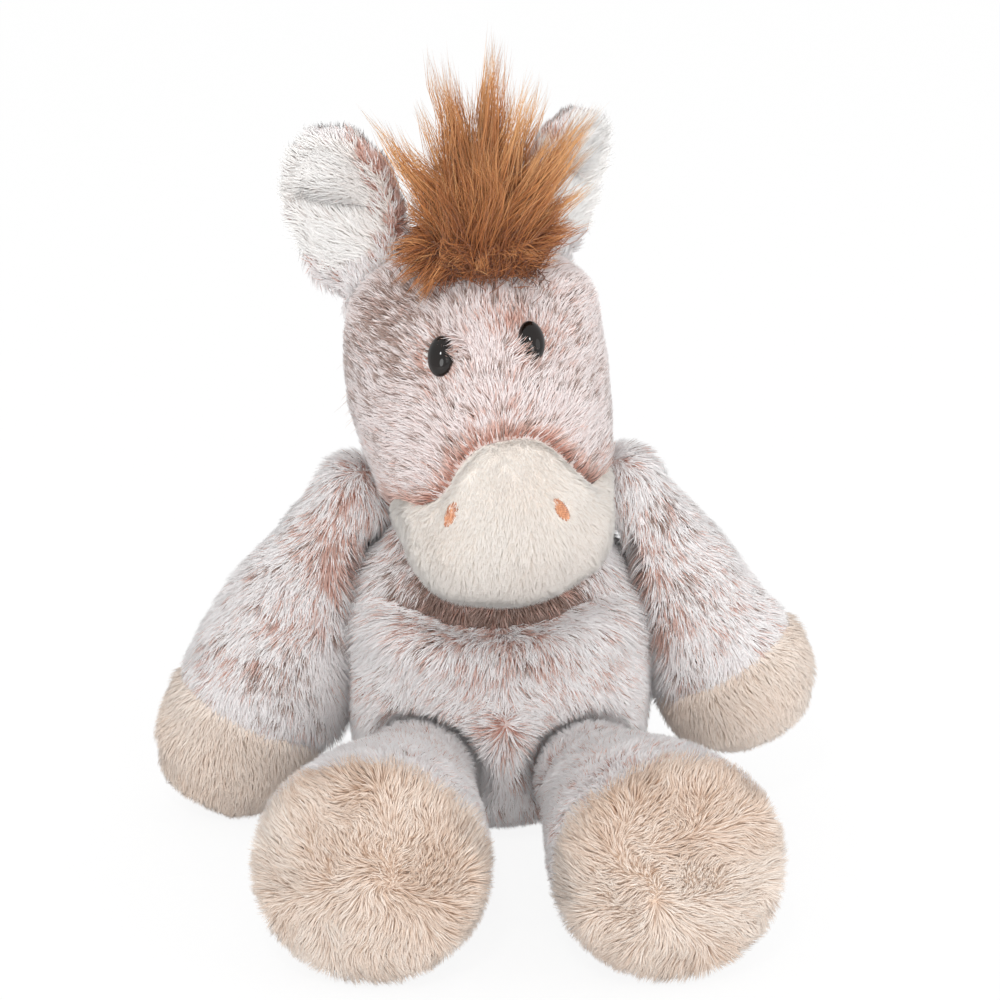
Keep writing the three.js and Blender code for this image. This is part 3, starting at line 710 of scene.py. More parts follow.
def torso():
    skin = remeshed("torso_skin", ["torso_cover", "torso_filling", "pellet_bag"], 4.5, 10)
    relax(skin, "neck_cover", *SOCKET_FILM)
    inset(skin, lambda points: PILE_INSET + PUFF + LUMPS * noise(points, LUMP_SIZE, 9))
    puff(skin, lambda points: points[:, 2] < 8.0 * MM)
    finer(skin)
    inset(skin, fold_depth)
    relax(skin, "neck_cover", *SOCKET_FINISH)
    coat = Coat(skin, PILE_DENSITY, 11)
    roots = coat.roots
    out = roots - np.array(TORSO_WHORL) * MM
    near = bell(np.linalg.norm(out, axis=1), 14)
    side = np.zeros_like(roots)
    side[:, 0] = out[:, 0] / (38.0 * MM)
    flow = DOWN + side * 0.9 + unit(out) * near[:, None] * 2.5
    flank = fade(28, 44, np.abs(roots[:, 0] - BODY_MIDDLE)) * fade(54, 78, roots[:, 2])
    points = comb(coat, flow, PILE_LENGTH + 5.0 * MM * flank, PILE_LEAN * (1.0 - 0.35 * flank))
    above = above_fold(roots)
    # shade is painted shade: it makes the pile on the chest under the chin, above the fold, greyer (0.78 *
    # shade) and darker (0.08 * shade), where the head's shadow falls.
    shade = fade(-3, 2, above) * fade(48, 30, np.abs(roots[:, 0] + 4.0 * MM)) * in_front(roots)
    rust = blotches(roots, 0.09, [(0.16, 13, 21), (0.1, 5, 23)], TORSO_RUST)
    grey = blotches(roots, 0.02, [(0.06, 11, 22), (0.06, 4, 24)], TORSO_GREY) + 0.78 * shade
    # The dark line along the fold, bell(above, 2.5) added to the rust tone, is painted shade in the crease.
    tone = speckled(coat, rust + 0.35 * bell(above, 2.5) * shade, grey) + 0.08 * shade
    coat.plant("torso_pile", points, tone, "torso", MOTTLED)
    stuff(skin, "torso_fibre", "torso", "torso_filling")
    finish_piece(skin, "torso", MOTTLED_CLOTH, "torso_cover")


def neck():
    skin = remeshed("neck_skin", ["neck_cover", "neck_filling"], 3.0, 6)
    inset(skin, 3.0 * MM)
    finer(skin)
    coat = Coat(skin, PILE_DENSITY, 12)
    points = comb(coat, np.tile(DOWN, (coat.count, 1)), 5.0 * MM)
    coat.plant("neck_pile", points, speckled(coat, 0.4, 0.2), "neck", MOTTLED)
    stuff(skin, "neck_fibre", "neck", "neck_filling")
    finish_piece(skin, "neck", MOTTLED_CLOTH, "neck_cover")


# Limbs

SEEDS = {"right_arm": 31, "left_arm": 32, "right_leg": 33, "left_leg": 34}
# Distance from the hip or shoulder, and how much fuller the limb is than its solid.
LEG_FULLER = [(8, 0), (28, 2.5), (46, 4.5), (62, 4), (76, 2.5)]
FULLER = {
    "right_arm": [(20, 0), (45, 3), (65, 4.5), (80, 4)],
    "left_arm": [(20, -1), (40, 0), (60, 0.3), (72, 2)],
    "right_leg": LEG_FULLER, "left_leg": LEG_FULLER}
HOOF_FULLER = {"right_arm": 3.8, "left_arm": 2.6, "right_leg": 2.4, "left_leg": 2.2}
# How lumpy the cover is, as a share of the torso's lumps.
LUMP_SHARE = {"right_arm": 1.0, "left_arm": 1.0, "right_leg": 0.3, "left_leg": 0.3}


class Limb:
    """A limb's skin and coat, its axis and the places of its two seams along it."""

    def __init__(self, body):
        self.body = body
        self.cover, self.hoof, self.sole = body + "_cover", body + "_hoof", body + "_sole"
        self.filling = body + "_filling"
        self.origin = ORIGIN[body]
        self.axis = unit(points_of(self.sole).mean(axis=0) - self.origin)
        reach = [self.along(points_of(node)) for node in (self.cover, self.hoof, self.sole)]
        self.first = (reach[0].max() + reach[1].min()) / 2.0
        self.second = (reach[1].max() + reach[2].min()) / 2.0
        self.skin = remeshed(body + "_skin", [self.cover, self.hoof, self.sole, self.filling], 4.0, 8)
        inset(self.skin, self.depth)
        puff(self.skin, self.sewn)
        finer(self.skin)
        inset(self.skin, self.crease)
        self.coat = Coat(self.skin, PILE_DENSITY, SEEDS[body])
        self.reach = self.along(self.coat.roots)

    def along(self, points):
        return (points - self.origin) @ self.axis

    def radial(self, points):
        return unit(points - self.origin - self.along(points)[:, None] * self.axis)

    def depth(self, points):
        """How far the skin lies inside its solids, so that the pile reaches their size."""
        reach = self.along(points)
        hoof = smoothstep(self.first - 4.0 * MM, self.first + 4.0 * MM, reach)
        fuller = np.interp(reach, *(np.array(FULLER[self.body], float).T * MM))
        lumps = LUMPS * hoof + LUMP_SHARE[self.body] * LUMPS * (1.0 - hoof)
        return (PILE_INSET + PUFF + lumps * noise(points, LUMP_SIZE, 9)
                - HOOF_FULLER[self.body] * MM * hoof - fuller * (1.0 - hoof))

    def crease(self, points):
        reach = self.along(points)
        return bell(reach - self.first, 2.5) * 1.5 * MM + bell(reach - self.second, 2.5) * 0.8 * MM

    def sewn(self, points):
        reach = self.along(points)
        seams = (np.abs(reach - self.first) < 3.0 * MM) | (np.abs(reach - self.second) < 3.0 * MM)
        return seams | (reach < 14.0 * MM)

    def finish(self, points, is_cover, tone, hoof_tone, ups=None):
        """Plants the pile, fills the skin and cuts it at its seams."""
        self.coat.plant(self.cover + "_pile", points, tone, self.body, MOTTLED, is_cover, ups)
        self.coat.plant(self.hoof + "_pile", points, hoof_tone, self.body, HOOF, ~is_cover)
        stuff(self.skin, self.body + "_fibre", self.body, self.filling)
        first = self.origin + self.first * self.axis
        second = self.origin + self.second * self.axis
        top = cut(self.skin, self.cover + "_skin", first, self.axis, False)
        rest = cut(self.skin, self.body + "_rest", first, self.axis, True)
        middle = cut(rest, self.hoof + "_skin", second, self.axis, False)
        end = cut(rest, self.sole + "_skin", second, self.axis, True)
        for spare in (rest, self.skin):
            bpy.data.objects.remove(spare)
        finish_piece(top, self.body, MOTTLED_CLOTH, self.cover)
        finish_piece(middle, self.body, HOOF_CLOTH, self.hoof)
        finish_piece(end, self.body, HOOF_CLOTH, self.sole)


ARM_RUST = {
    "right_arm": [
        (-51.9, 25, 100.7, 11, 1.0), (-60, 25, 112, 7, 0.7), (-44, 25, 122, 9, 0.9), (-44, 28, 86, 7, 0.7),
        (-86, 25, 62, 7, 0.3), (-64, 25, 74, 7, 0.4)],
    "left_arm": [
        (46, 25, 124, 8, 0.9), (48.3, 25, 102.5, 9, 1.0), (54, 28, 88, 7, 0.8), (58, 28, 72, 7, 0.9),
        (72, 25, 98, 6, 0.25), (80, 25, 78, 7, 0.25)]}
ARM_GREY = {
    "right_arm": [(-74, 25, 92, 10, 0.2), (-70, 25, 58, 10, 0.25)],
    "left_arm": [(64, 25, 112, 9, 0.2), (66, 28, 84, 8, 0.2)]}


def arm(body):
    limb = Limb(body)
    coat, roots, seed = limb.coat, limb.coat.roots, SEEDS[body]
    is_cover = limb.reach < limb.first
    end = smoothstep(limb.second - 5.0 * MM, limb.second + 8.0 * MM, limb.reach)
    flow = limb.axis + 0.25 * DOWN + limb.radial(roots) * (0.5 * end)[:, None]
    inward = np.array([BODY_MIDDLE - limb.origin[0], 0.0, 0.0])
    inner = smoothstep(0.3, 0.9, coat.ups @ unit(inward)) * is_cover
    points = comb(coat, flow, PILE_LENGTH + 4.0 * MM * inner, PILE_LEAN * (1.0 - 0.3 * inner))
    rust = blotches(roots, 0.08, [(0.14, 12, seed), (0.1, 5, seed + 6)], ARM_RUST[body])
    grey = blotches(roots, 0.03, [(0.08, 10, seed + 1), (0.07, 4, seed + 5)], ARM_GREY[body])
    tone = speckled(coat, rust, grey)
    hoof_tone = 0.3 + 0.14 * noise(roots, 16, seed + 2) + coat.rng.normal(0.0, 0.09, coat.count)
    limb.finish(points, is_cover, tone, hoof_tone)


HOOF_BROWN = {"right_leg": [(-19, -104, 41, 15, 0.2)], "left_leg": [(56, -104, 52, 14, 0.08)]}
LEG_WHORLS = {
    "right_leg": [(-19, -104, 36), (-49, -104, 31), (-30, -104, 39)],
    "left_leg": [(52, -104, 36), (70, -104, 31), (44, -104, 26)]}
WHORL_SIZE = 10.0 * MM
CUFF_OVER = 5.0 * MM


def leg(body):
    limb = Limb(body)
    coat, roots, reach, seed = limb.coat, limb.coat.roots, limb.reach, SEEDS[body]
    over = CUFF_OVER * (1.0 + 1.6 * smoothstep(0.2, 0.8, limb.radial(roots) @ UP))
    is_cover = reach < limb.first + over
    flow = np.zeros_like(roots)
    for whorl in LEG_WHORLS[body]:
        gap = roots - np.array(whorl) * MM
        gap = gap - (gap @ limb.axis)[:, None] * limb.axis
        flow += gap / ((gap ** 2).sum(axis=1) + WHORL_SIZE ** 2)[:, None]
    flow = np.where(is_cover[:, None], limb.axis + 0.4 * limb.radial(roots), unit(flow) - 0.25 * limb.axis)
    edge = bell(reach - limb.first - over, 6) * is_cover
    length = np.where(is_cover, 6.5 * MM, PILE_LENGTH)
    lean = PILE_LEAN * np.where(is_cover, 0.85 - 0.2 * edge, 0.7)
    points = comb(coat, flow, length, lean, clump=0.36, drift=np.where(is_cover, 0.6, 1.9))
    tone = speckled(coat, 0.06 + 0.12 * noise(roots, 12, seed), 0.01, 0.08)
    hoof_tone = 0.36 + 0.16 * noise(roots, 12, seed + 2) + coat.rng.normal(0.0, 0.14, coat.count)
    top = fade(44, 62, roots[:, 2]) * smoothstep(limb.second + 6.0 * MM, limb.second - 8.0 * MM, reach)
    hoof_tone = hoof_tone + patches(roots, HOOF_BROWN[body]) + 0.2 * top
    limb.finish(points, is_cover, tone, hoof_tone, unit(coat.ups + 0.6 * limb.axis))


# Head

HEAD_RUST = [
    (6.5, -20, 194.6, 7, 0.5), (-6, -18, 200, 6, 0.3), (24, -20, 186, 6, 0.35), (22, -8, 206, 9, 0.35),
    (38, -10, 190, 8, 0.3), (8, -34, 172, 4, 0.3)]
HEAD_GREY = [
    (-32, -8, 186, 14, 0.6), (-24, -8, 202, 10, 0.5), (-24, -24, 176, 9, 0.35), (-40, 10, 170, 12, 0.35),
    (16, -14, 204, 9, 0.3), (30, -20, 178, 9, 0.25), (14, -26, 180, 6, 0.25)]
# Distance from the bridge's middle, and how far the seam dips there.
SEAM_SAGS = [
    (-46, 3), (-37, 3.5), (-32, 7), (-27, 10.5), (-23, 11), (-19, 9), (-15, 4.5), (-11, 1.5), (-6, 0), (6, 0),
    (11, 1), (15, 3.5), (19, 8), (23, 11.5), (27, 13.5), (32, 14), (37, 12), (46, 6)]
# Where the crown's corners stand out, how widely and by how many millimetres.
HEAD_CORNERS = [(36, 10, 200, 15, 7.5), (-38, 5, 190, 12, 3.5)]
CHIN_START = 62.0 * MM
CHIN_SHORTER = 0.2
# From each eye toward the hair that lies over its edge.
LIDS = {"right_eye": (0.85, 0.0, 0.45), "left_eye": (-0.6, 0.0, -0.8)}
# Each nostril's middle and its lean from upright in degrees.
NOSTRILS = {"right_nostril": ((-11.0, -46.5, 136.6), 30.0), "left_nostril": ((24.6, -43.0, 137.9), -28.0)}
EYE_MIDDLES = [points_of(node).mean(axis=0) for node in LIDS]
NOSTRIL_MIDDLES = [np.array(middle) * MM for middle, lean in NOSTRILS.values()]


def head_reach(points):
    return (points - SKULL) @ HEAD_AXIS


def seam_sag(points):
    """How far the muzzle's seam dips from its plane, beside the bridge of the nose."""
    across = (points - SKULL) @ HEAD_ACROSS
    front = fade(0, 18, (points - SKULL) @ HEAD_BRIDGE)
    return np.interp(across, *(np.array(SEAM_SAGS).T * MM)) * front


def seam_reach(points):
    return head_reach(points) - seam_sag(points) - MUZZLE_SEAM


def head_depth(points):
    """How far the skin lies inside its solids: less under the muzzle's short pile and round the eyes."""
    muzzle = fade(-3, 3, seam_reach(points))
    socket = bell(gap_to(points, EYE_MIDDLES), 9)
    waves = noise(points, 11, 45) * muzzle * 1.2 * MM
    return 3.4 * MM - 2.0 * MM * muzzle - 2.4 * MM * socket + waves


def head_sewn(points):
    return (np.abs(seam_reach(points)) < 3.0 * MM) | (gap_to(points, EYE_MIDDLES) < 9.0 * MM)


def head_skin():
    nodes = ["head_cover", "muzzle_cover", "head_filling", "right_eye_washer", "left_eye_washer"]
    skin = remeshed("head_skin", nodes, 4.0, 8)
    relax(skin, "neck_cover", *SOCKET_FILM)
    inset(skin, head_depth)
    puff(skin, head_sewn)
    finer(skin)
    verts, tris = arrays(skin)
    verts = verts - vertex_normals(verts, tris) * (bell(seam_reach(verts), 2.5) * 1.5 * MM)[:, None]
    verts = verts + vertex_normals(verts, tris) * (patches(verts, HEAD_CORNERS) * MM)[:, None]
    beyond = np.maximum(head_reach(verts) - CHIN_START, 0.0)
    set_points(skin, verts - HEAD_AXIS * (beyond * CHIN_SHORTER)[:, None])
    relax(skin, "neck_cover", *SOCKET_FINISH)
    return skin


def head():
    skin = head_skin()
    coat = Coat(skin, PILE_DENSITY, 41)
    roots, reach = coat.roots, seam_reach(coat.roots)
    eye_gap = gap_to(roots, EYE_MIDDLES)
    across = (roots - SKULL) @ HEAD_ACROSS
    flow = HEAD_ACROSS * (across / (26.0 * MM))[:, None] - HEAD_AXIS
    seam, rim = bell(reach, 3), bell(eye_gap - 5.0 * MM, 3)
    length = 5.0 * MM + 1.5 * MM * seam - 1.5 * MM * rim
    lean = np.full(coat.count, PILE_LEAN)
    for middle, heading in zip(EYE_MIDDLES, LIDS.values()):
        out = roots - middle
        away = unit(out - HEAD_BRIDGE * (out @ HEAD_BRIDGE)[:, None])
        lid = smoothstep(0.5, 0.9, away @ unit(np.array(heading))) * (np.linalg.norm(out, axis=1) < 9.5 * MM)
        flow = flow * (1.0 - lid)[:, None] - away * lid[:, None]
        length = length + 3.4 * MM * lid
        lean = lean * (1.0 - 0.35 * lid)
    points = comb(coat, flow, length, lean)
    tinted = 0.03 + 0.1 * noise(roots, 10, 51) + 0.7 * seam + 0.18 * bell(reach + 4.0 * MM, 6) + 0.4 * rim
    rust = tinted + patches(roots, HEAD_RUST)
    grey = blotches(roots, 0.11, [(0.12, 8, 52), (0.12, 4, 53)], HEAD_GREY)
    tone = speckled(coat, rust, grey, 0.26)
    chosen = (reach < 0.0) & (eye_gap > 4.6 * MM)
    coat.plant("head_pile", points, tone, "head", MOTTLED, chosen, width=HEAD_PILE_WIDTH)
    muzzle(skin)
    nostrils(skin)
    stuff(skin, "head_fibre", "head", "head_filling")
    head_covers(skin)


def head_covers(skin):
    """Cuts the skin along its curved seam, which is flat while the sag is taken out."""
    place = SKULL + HEAD_AXIS * MUZZLE_SEAM
    verts = arrays(skin)[0]
    set_points(skin, verts - HEAD_AXIS * seam_sag(verts)[:, None])
    top = cut(skin, "head_cover_skin", place, HEAD_AXIS, False)
    end = cut(skin, "muzzle_skin", place, HEAD_AXIS, True)
    bpy.data.objects.remove(skin)
    for piece, look, node in ((top, MOTTLED_CLOTH, "head_cover"), (end, CREAM_CLOTH, "muzzle_cover")):
        verts = arrays(piece)[0]
        set_points(piece, verts + HEAD_AXIS * seam_sag(verts)[:, None])
        finish_piece(piece, "head", look, node)


def muzzle(skin):
    """The muzzle's short, close pile."""
    coat = Coat(skin, 4.5, 42, lambda roots, draw: seam_reach(roots) > 0.0)
    roots = coat.roots
    across = (roots - SKULL) @ HEAD_ACROSS
    flow = HEAD_AXIS + HEAD_ACROSS * (across / (40.0 * MM))[:, None]
    length = 2.8 * MM + 1.6 * MM * fade(12, 32, seam_reach(roots))
    length = length * fade(1.5, 5, gap_to(roots, NOSTRIL_MIDDLES))
    points = comb(coat, flow, np.maximum(length, 0.4 * MM), 1.0, 1, 0.45, 16)
    tone = 0.3 + 0.3 * noise(roots, 16, 57) + coat.rng.normal(0.0, 0.12, coat.count)
    coat.plant("muzzle_pile", points, tone, "head", CREAM, width=SHORT_PILE_WIDTH)


STITCH_HALF = np.array([2.0, 4.2, 1.0]) * MM
STITCH_SLANT = math.radians(30.0)
STITCH_COUNT = 13
STITCH_RINGS = 9
STITCH_RADIUS = 0.3 * MM
STITCH_OVERHANG = 0.3 * MM
STITCH_LIFT = 0.1 * MM
PADDING_SHARE = 0.92


def nostrils(skin):
    """Satin stitches side by side across a small padded leaf."""
    verts, tris = arrays(skin)
    normals = vertex_normals(verts, tris)
    for (node, (_, lean)), middle in zip(NOSTRILS.items(), NOSTRIL_MIDDLES):
        nearest = np.argmin(np.linalg.norm(verts - middle, axis=1))
        normal, place = normals[nearest], verts[nearest]
        turn = math.radians(lean)
        tall = np.array([math.sin(turn), 0.0, math.cos(turn)])
        tall = unit(tall - normal * (tall @ normal))
        padding = dome(node + "_padding", place, tall, normal, STITCH_HALF * PADDING_SHARE, 12, 24)
        finish_piece(padding, "head", PADDING, node)
        slant = np.cross(normal, tall) * math.cos(STITCH_SLANT) + tall * math.sin(STITCH_SLANT)
        across = np.linspace(-1.0, 1.0, STITCH_RINGS)[:, None]
        lines = []
        for share in np.linspace(-0.94, 0.94, STITCH_COUNT):
            half = STITCH_HALF[0] * (1.0 - share ** 2) ** 0.7 + STITCH_OVERHANG
            rise = STITCH_HALF[2] * (1.0 - across ** 2) ** 0.5 * (1.0 - 0.5 * share ** 2)
            start = place + tall * STITCH_HALF[1] * share
            lines.append(start + slant * across * half + normal * (rise + STITCH_LIFT))
        threads = tubes(node + "_threads", lines, STITCH_RADIUS, 6)
        finish_piece(threads, "head", THREAD)


EYE_HALF = np.array([4.2, 6.6, 3.6]) * MM
EYE_FRONT = 3.4 * MM


def eyes():
    plastic = plastic_material()
    for node in LIDS:
        places, back = points_of(node), points_of(node + "_washer")
        middle = places.mean(axis=0)
        thin = np.linalg.eigh(np.cov(back.T))[1][:, 0]
        normal = thin * (-1.0 if thin @ (back.mean(axis=0) - middle) > 0.0 else 1.0)
        middle = middle + normal * ((places @ normal).max() - EYE_FRONT - middle @ normal)
        tall = unit(UP - normal * normal[2])
        eye = dome(node + "_gloss", middle, tall, normal, EYE_HALF, 24, 40)
        finish_piece(eye, "head", EYE_GLOSS, node)
        washer = frame["nodes"][node + "_washer"].data
        washer.materials.clear()
        washer.materials.append(plastic)


# Ears

EAR_HANG = 5.0 * MM
EAR_SHORTER = {"right": 0.0, "left": 0.25}
EAR_SHIFT = {"right": (2.0, 0.0, 0.0), "left": (-1.0, 0.0, 0.0)}
EAR_BAND = {"right": 0.7, "left": 0.3}
# Which way along the ear's own across direction lies away from the head.
EAR_OUTWARD = {"right": 1.0, "left": -1.0}


class Ear:
    """An ear's own directions: across, up and out of the cup's mouth."""

    def __init__(self, side):
        self.body = side + "_ear"
        self.cover = points_of(self.body + "_cover")
        self.lining = points_of(self.body + "_lining")
        self.middle = self.lining.mean(axis=0)
        thin = np.linalg.eigh(np.cov(self.cover.T))[1][:, 0]
        self.facing = thin * (-1.0 if thin[1] > 0.0 else 1.0)
        upward = unit(self.cover.mean(axis=0) - ORIGIN[self.body])
        self.up = unit(upward - self.facing * (upward @ self.facing))
        self.across = np.cross(self.facing, self.up)

    def flat(self, points):
        out = points - self.middle
        return out @ self.across, out @ self.up

    def is_lining(self, points):
        """Which points lie nearer to the lining than to the cover."""
        lining, cover = search_tree(self.lining), search_tree(self.cover)
        return np.array([lining.find(point)[2] < cover.find(point)[2] for point in points])


def ear_slit(across, high, width):
    """1 along the crease that folds the lining."""
    return bell(high - 2.0 * MM - 0.35 * across, width) * fade(13, 7, np.abs(across - 2.0 * MM))


def ear_skin(shape, side):
    """The cup with its folded lining, its swollen lobes and its place in the photo."""
    body = shape.body
    skin = remeshed(body + "_skin", [body + "_cover", body + "_lining"], 1.6, 6)
    inset(skin, 1.6 * MM)
    verts, tris = arrays(skin)
    across, high = shape.flat(verts)
    normals = vertex_normals(verts, tris)
    front = smoothstep(0.0, 0.6, normals @ shape.facing)
    lobe = bell(np.hypot(high - 11.0 * MM, across), 8)
    low = bell(np.hypot(high + 9.0 * MM, across), 9)
    swell = (2.4 * lobe + 2.2 * low - 5.5 * ear_slit(across, high, 2.8)) * front
    hang = fade(-4, -16, high) * fade(-34, -26, high)
    verts = verts + normals * ((swell + 1.5 * hang) * MM)[:, None] - shape.up * (EAR_HANG * hang)[:, None]
    above = np.maximum(high - 4.0 * MM, 0.0)
    set_points(skin, verts - shape.up * (above * EAR_SHORTER[side])[:, None] + np.array(EAR_SHIFT[side]) * MM)
    return skin


def ear(side, seed):
    shape = Ear(side)
    body, outward = shape.body, EAR_OUTWARD[side]
    skin = ear_skin(shape, side)
    coat = Coat(skin, 3.0, seed)
    roots, facing = coat.roots, coat.ups @ shape.facing
    inner = shape.is_lining(roots)
    across, high = shape.flat(roots)
    out = unit(roots - shape.middle)
    brim = smoothstep(0.9, 0.2, np.abs(facing)) * fade(0, -12, high)
    sway = unit(shape.up + shape.across * (0.6 * outward))
    flow = np.where(inner[:, None], sway + 0.4 * out, shape.up + 0.3 * out)
    flow = flow * (1.0 - brim)[:, None] + (0.6 * out - shape.up) * brim[:, None]
    points = comb(coat, flow, np.where(inner, 7.5 * MM, 5.5 * MM) + 2.5 * MM * brim, clump=0.25)
    band = fade(4, 12, across * -outward) * fade(-20, -8, high)
    back = smoothstep(-0.1, -0.5, facing)
    rust = 0.04 + 0.3 * back + EAR_BAND[side] * band + 0.15 * noise(roots, 10, seed) * back
    outer_tone = speckled(coat, rust, 0.02 * back, 0.1)
    # The 0.5 * ear_slit term darkens the lining along its crease: painted shade in the fold.
    inner_tone = 0.1 + 0.3 * band + 0.5 * ear_slit(across, high, 2.0) + coat.rng.normal(0.0, 0.07, coat.count)
    lit = unit(coat.ups + 0.8 * smoothstep(-0.8, 0.0, facing)[:, None] * shape.facing)
    coat.plant(body + "_cover_pile", points, outer_tone, body, MOTTLED, ~inner, lit, SHORT_PILE_WIDTH)
    coat.plant(body + "_lining_pile", points, inner_tone, body, LINING, inner, None, SHORT_PILE_WIDTH,
               (body + "_lining",))
    finish_piece(skin, body, CREAM_CLOTH, body + "_cover")


# Mane and tail

LOCK_SEGMENTS = 4
FORELOCK_BASE = np.array([-1.0, -3.0, 208.0]) * MM
FORELOCK_LOCKS = 200
# Degrees from upright, and how far the soft mass of the mane reaches there.
MASS_OUTLINE = [
    (-110, 13), (-90, 15), (-70, 21), (-52, 31), (-38, 40), (-30, 43), (-18, 50), (-10, 51), (-3, 46),
    (4, 56), (12, 56), (22, 50), (35, 47), (48, 43), (60, 35), (76, 27), (90, 21), (110, 16)]
# Degrees from upright, reach, and depth of the tips behind the base.
SPIKES = [
    (-37, 62, 6), (-35, 55, 2), (-31, 50, 8), (-22, 54, 4), (-15, 68, 4), (-13, 62, 8), (-11, 67, 2),
    (-8, 61, 5), (-5, 55, 8), (1, 68, 6), (3, 72, 4), (5, 70, 2), (7, 64, 8), (10, 60, 5), (15, 65, 3),
    (18, 60, 6), (23, 56, 5), (29, 52, 3), (35, 60, 6), (37, 65, 4), (39, 60, 2), (47, 50, 5), (56, 44, 4)]
# Where wisps end on the forehead, from the base.
WISPS = [
    (-24, -12, 0), (-22, -16, -9), (-19, -18, -11), (-30, -11, -3), (-33, -7, 3), (-28, -13, -8),
    (-15, -19, -7), (-13, -18, 1), (-7, -19, 2), (0, -20, 1), (6, -19, 3), (13, -18, 3), (20, -15, 5),
    (26, -12, 7), (32, -6, 14), (29, -9, 9), (-27, -8, 5), (-28, -4, 10)]
NECK_MANE_CLOSER = 3.0 * MM
NECK_MANE_SLIMMER = 3.0 * MM
# Where wisps of the neck's mane end beside the head.
NECK_WISPS = [(-46, 32, 168), (-47, 32, 161), (-48, 33, 155), (-46, 33, 150), (-47, 34, 144), (-45, 34, 139)]


def lock_lines(roots, tips, bulge, per_lock, root_spread, tip_spread, rng, shortest=0.7):
    """Centre lines of tapering locks, each a bundle of strands from a root to a tip."""
    root_spread, tip_spread = root_spread * MM, tip_spread * MM
    lock = np.repeat(np.arange(len(roots)), per_lock)
    count = len(lock)
    start = roots[lock] + rng.normal(0.0, root_spread, (count, 3))
    reach = rng.uniform(shortest, 1.02, (count, 1))
    end = roots[lock] + (tips[lock] - roots[lock]) * reach + rng.normal(0.0, tip_spread, (count, 3))
    middle = (start + end) / 2.0 + bulge[lock] + rng.normal(0.0, root_spread * 0.6, (count, 3))
    share = np.linspace(0.0, 1.0, LOCK_SEGMENTS + 1)[None, :, None]
    points = start[:, None] * (1.0 - share) ** 2 + 2.0 * middle[:, None] * share * (1.0 - share)
    return points + end[:, None] * share ** 2, lock


def waved(points, size, amount):
    """Bends neighbouring hairs together, more toward their tips."""
    flat = points.reshape(-1, 3)
    offset = np.stack([noise(flat, size, seed) for seed in (81, 82, 83)], axis=1) * amount
    share = np.linspace(0.0, 1.0, points.shape[1])[None, :, None]
    return points + offset.reshape(points.shape) * share


def plant_hair(name, points, lock, width, middle, rng, body="head", axis=2):
    """Plants hair whose locks, and whose strands in each, differ in tone round the middle one."""
    tone = middle + rng.normal(0.0, 0.12, lock.max() + 1)[lock] + rng.normal(0.0, 0.12, len(lock))
    plant(name, points, tone, width * MM, body, MANE, rng, axis=axis)


def fan(angle, reach, depth):
    turn = np.radians(angle)
    return FORELOCK_BASE + np.stack([np.sin(turn) * reach, depth, np.cos(turn) * reach], axis=1) * MM


def forelock():
    rng = np.random.default_rng(71)
    forelock_mass(rng)
    forelock_spikes(rng)
    forelock_wisps(rng)
    core = remeshed("forelock_core", ["forelock"], 2.5, 6)
    verts = arrays(core)[0]
    squeezed = (verts - verts.mean(axis=0)) * np.array([0.55, 0.45, 0.22])
    set_points(core, FORELOCK_BASE + squeezed + UP * 4.0 * MM)
    finish_piece(core, "head", MANE_CLOTH, "forelock")


def forelock_mass(rng):
    count = FORELOCK_LOCKS
    angle = rng.uniform(-105.0, 105.0, count)
    layer = rng.uniform(-1.0, 1.0, count)
    reach = np.interp(angle, *np.array(MASS_OUTLINE, float).T)
    reach = reach * np.sqrt(1.0 - 0.5 * layer ** 2) * rng.uniform(0.42, 1.0, count)
    tips = fan(angle, reach, layer * 15.0 + 2.0)
    roots = fan(angle, rng.uniform(0.0, 15.0, count) * np.abs(np.sin(np.radians(angle))), layer * 10.0)
    roots[:, 2] = np.minimum(roots[:, 2], 210.0 * MM)
    bulge = (tips - FORELOCK_BASE) * np.array([0.16, 0.3, 0.02])
    points, lock = lock_lines(roots, tips, bulge, 64, 3.2, 2.6, rng, 0.6)
    points = waved(points, 9, 5.0 * MM)
    deep = np.clip(0.62 - 0.25 * (points[:, -1, 2] - FORELOCK_BASE[2]) / (40.0 * MM), 0.2, 0.75)
    plant_hair("forelock_mass", points, lock, 0.25, deep, rng, axis=1)


def forelock_spikes(rng):
    angle, reach, depth = np.array(SPIKES, float).T
    depth = depth + rng.uniform(-12.0, 12.0, len(depth))
    tips = fan(angle, reach, depth)
    roots = fan(angle, reach * 0.25, depth * 0.6)
    points, lock = lock_lines(roots, tips, tips * 0.0, 64, 3.2, 1.1, rng, 0.55)
    plant_hair("forelock_spikes", waved(points, 12, 2.5 * MM), lock, 0.26, 0.16, rng)


def forelock_wisps(rng):
    ends = np.repeat(np.array(WISPS, float), 3, axis=0)
    roots = FORELOCK_BASE + ends * np.array([0.45, 0.4, 0.0]) * MM + UP * 2.0 * MM
    tips = FORELOCK_BASE + ends * MM
    tips = tips + rng.normal(0.0, 1.8 * MM, tips.shape)
    bulge = np.tile(np.array([0.0, -3.0, 4.0]) * MM, (len(tips), 1))
    points, lock = lock_lines(roots, tips, bulge, 18, 2.4, 0.8, rng, 0.6)
    plant_hair("forelock_wisps", points, lock, 0.3, 0.45, rng)


def hairy(name, core, length, flow, seed, body):
    """Locks of mane hair all over a core."""
    coat = Coat(core, 2.4, seed)
    fan_out = coat.ups * np.array([0.6, 0.2, 0.0])
    lengths = length * (1.0 + 0.3 * noise(coat.roots, 6, seed + 1))
    points = comb(coat, flow + fan_out, lengths, math.radians(62.0), 3, 0.6, 16, 0.4)
    plant_hair(name, points, coat.leaders, 0.34, 0.4, coat.rng, body)


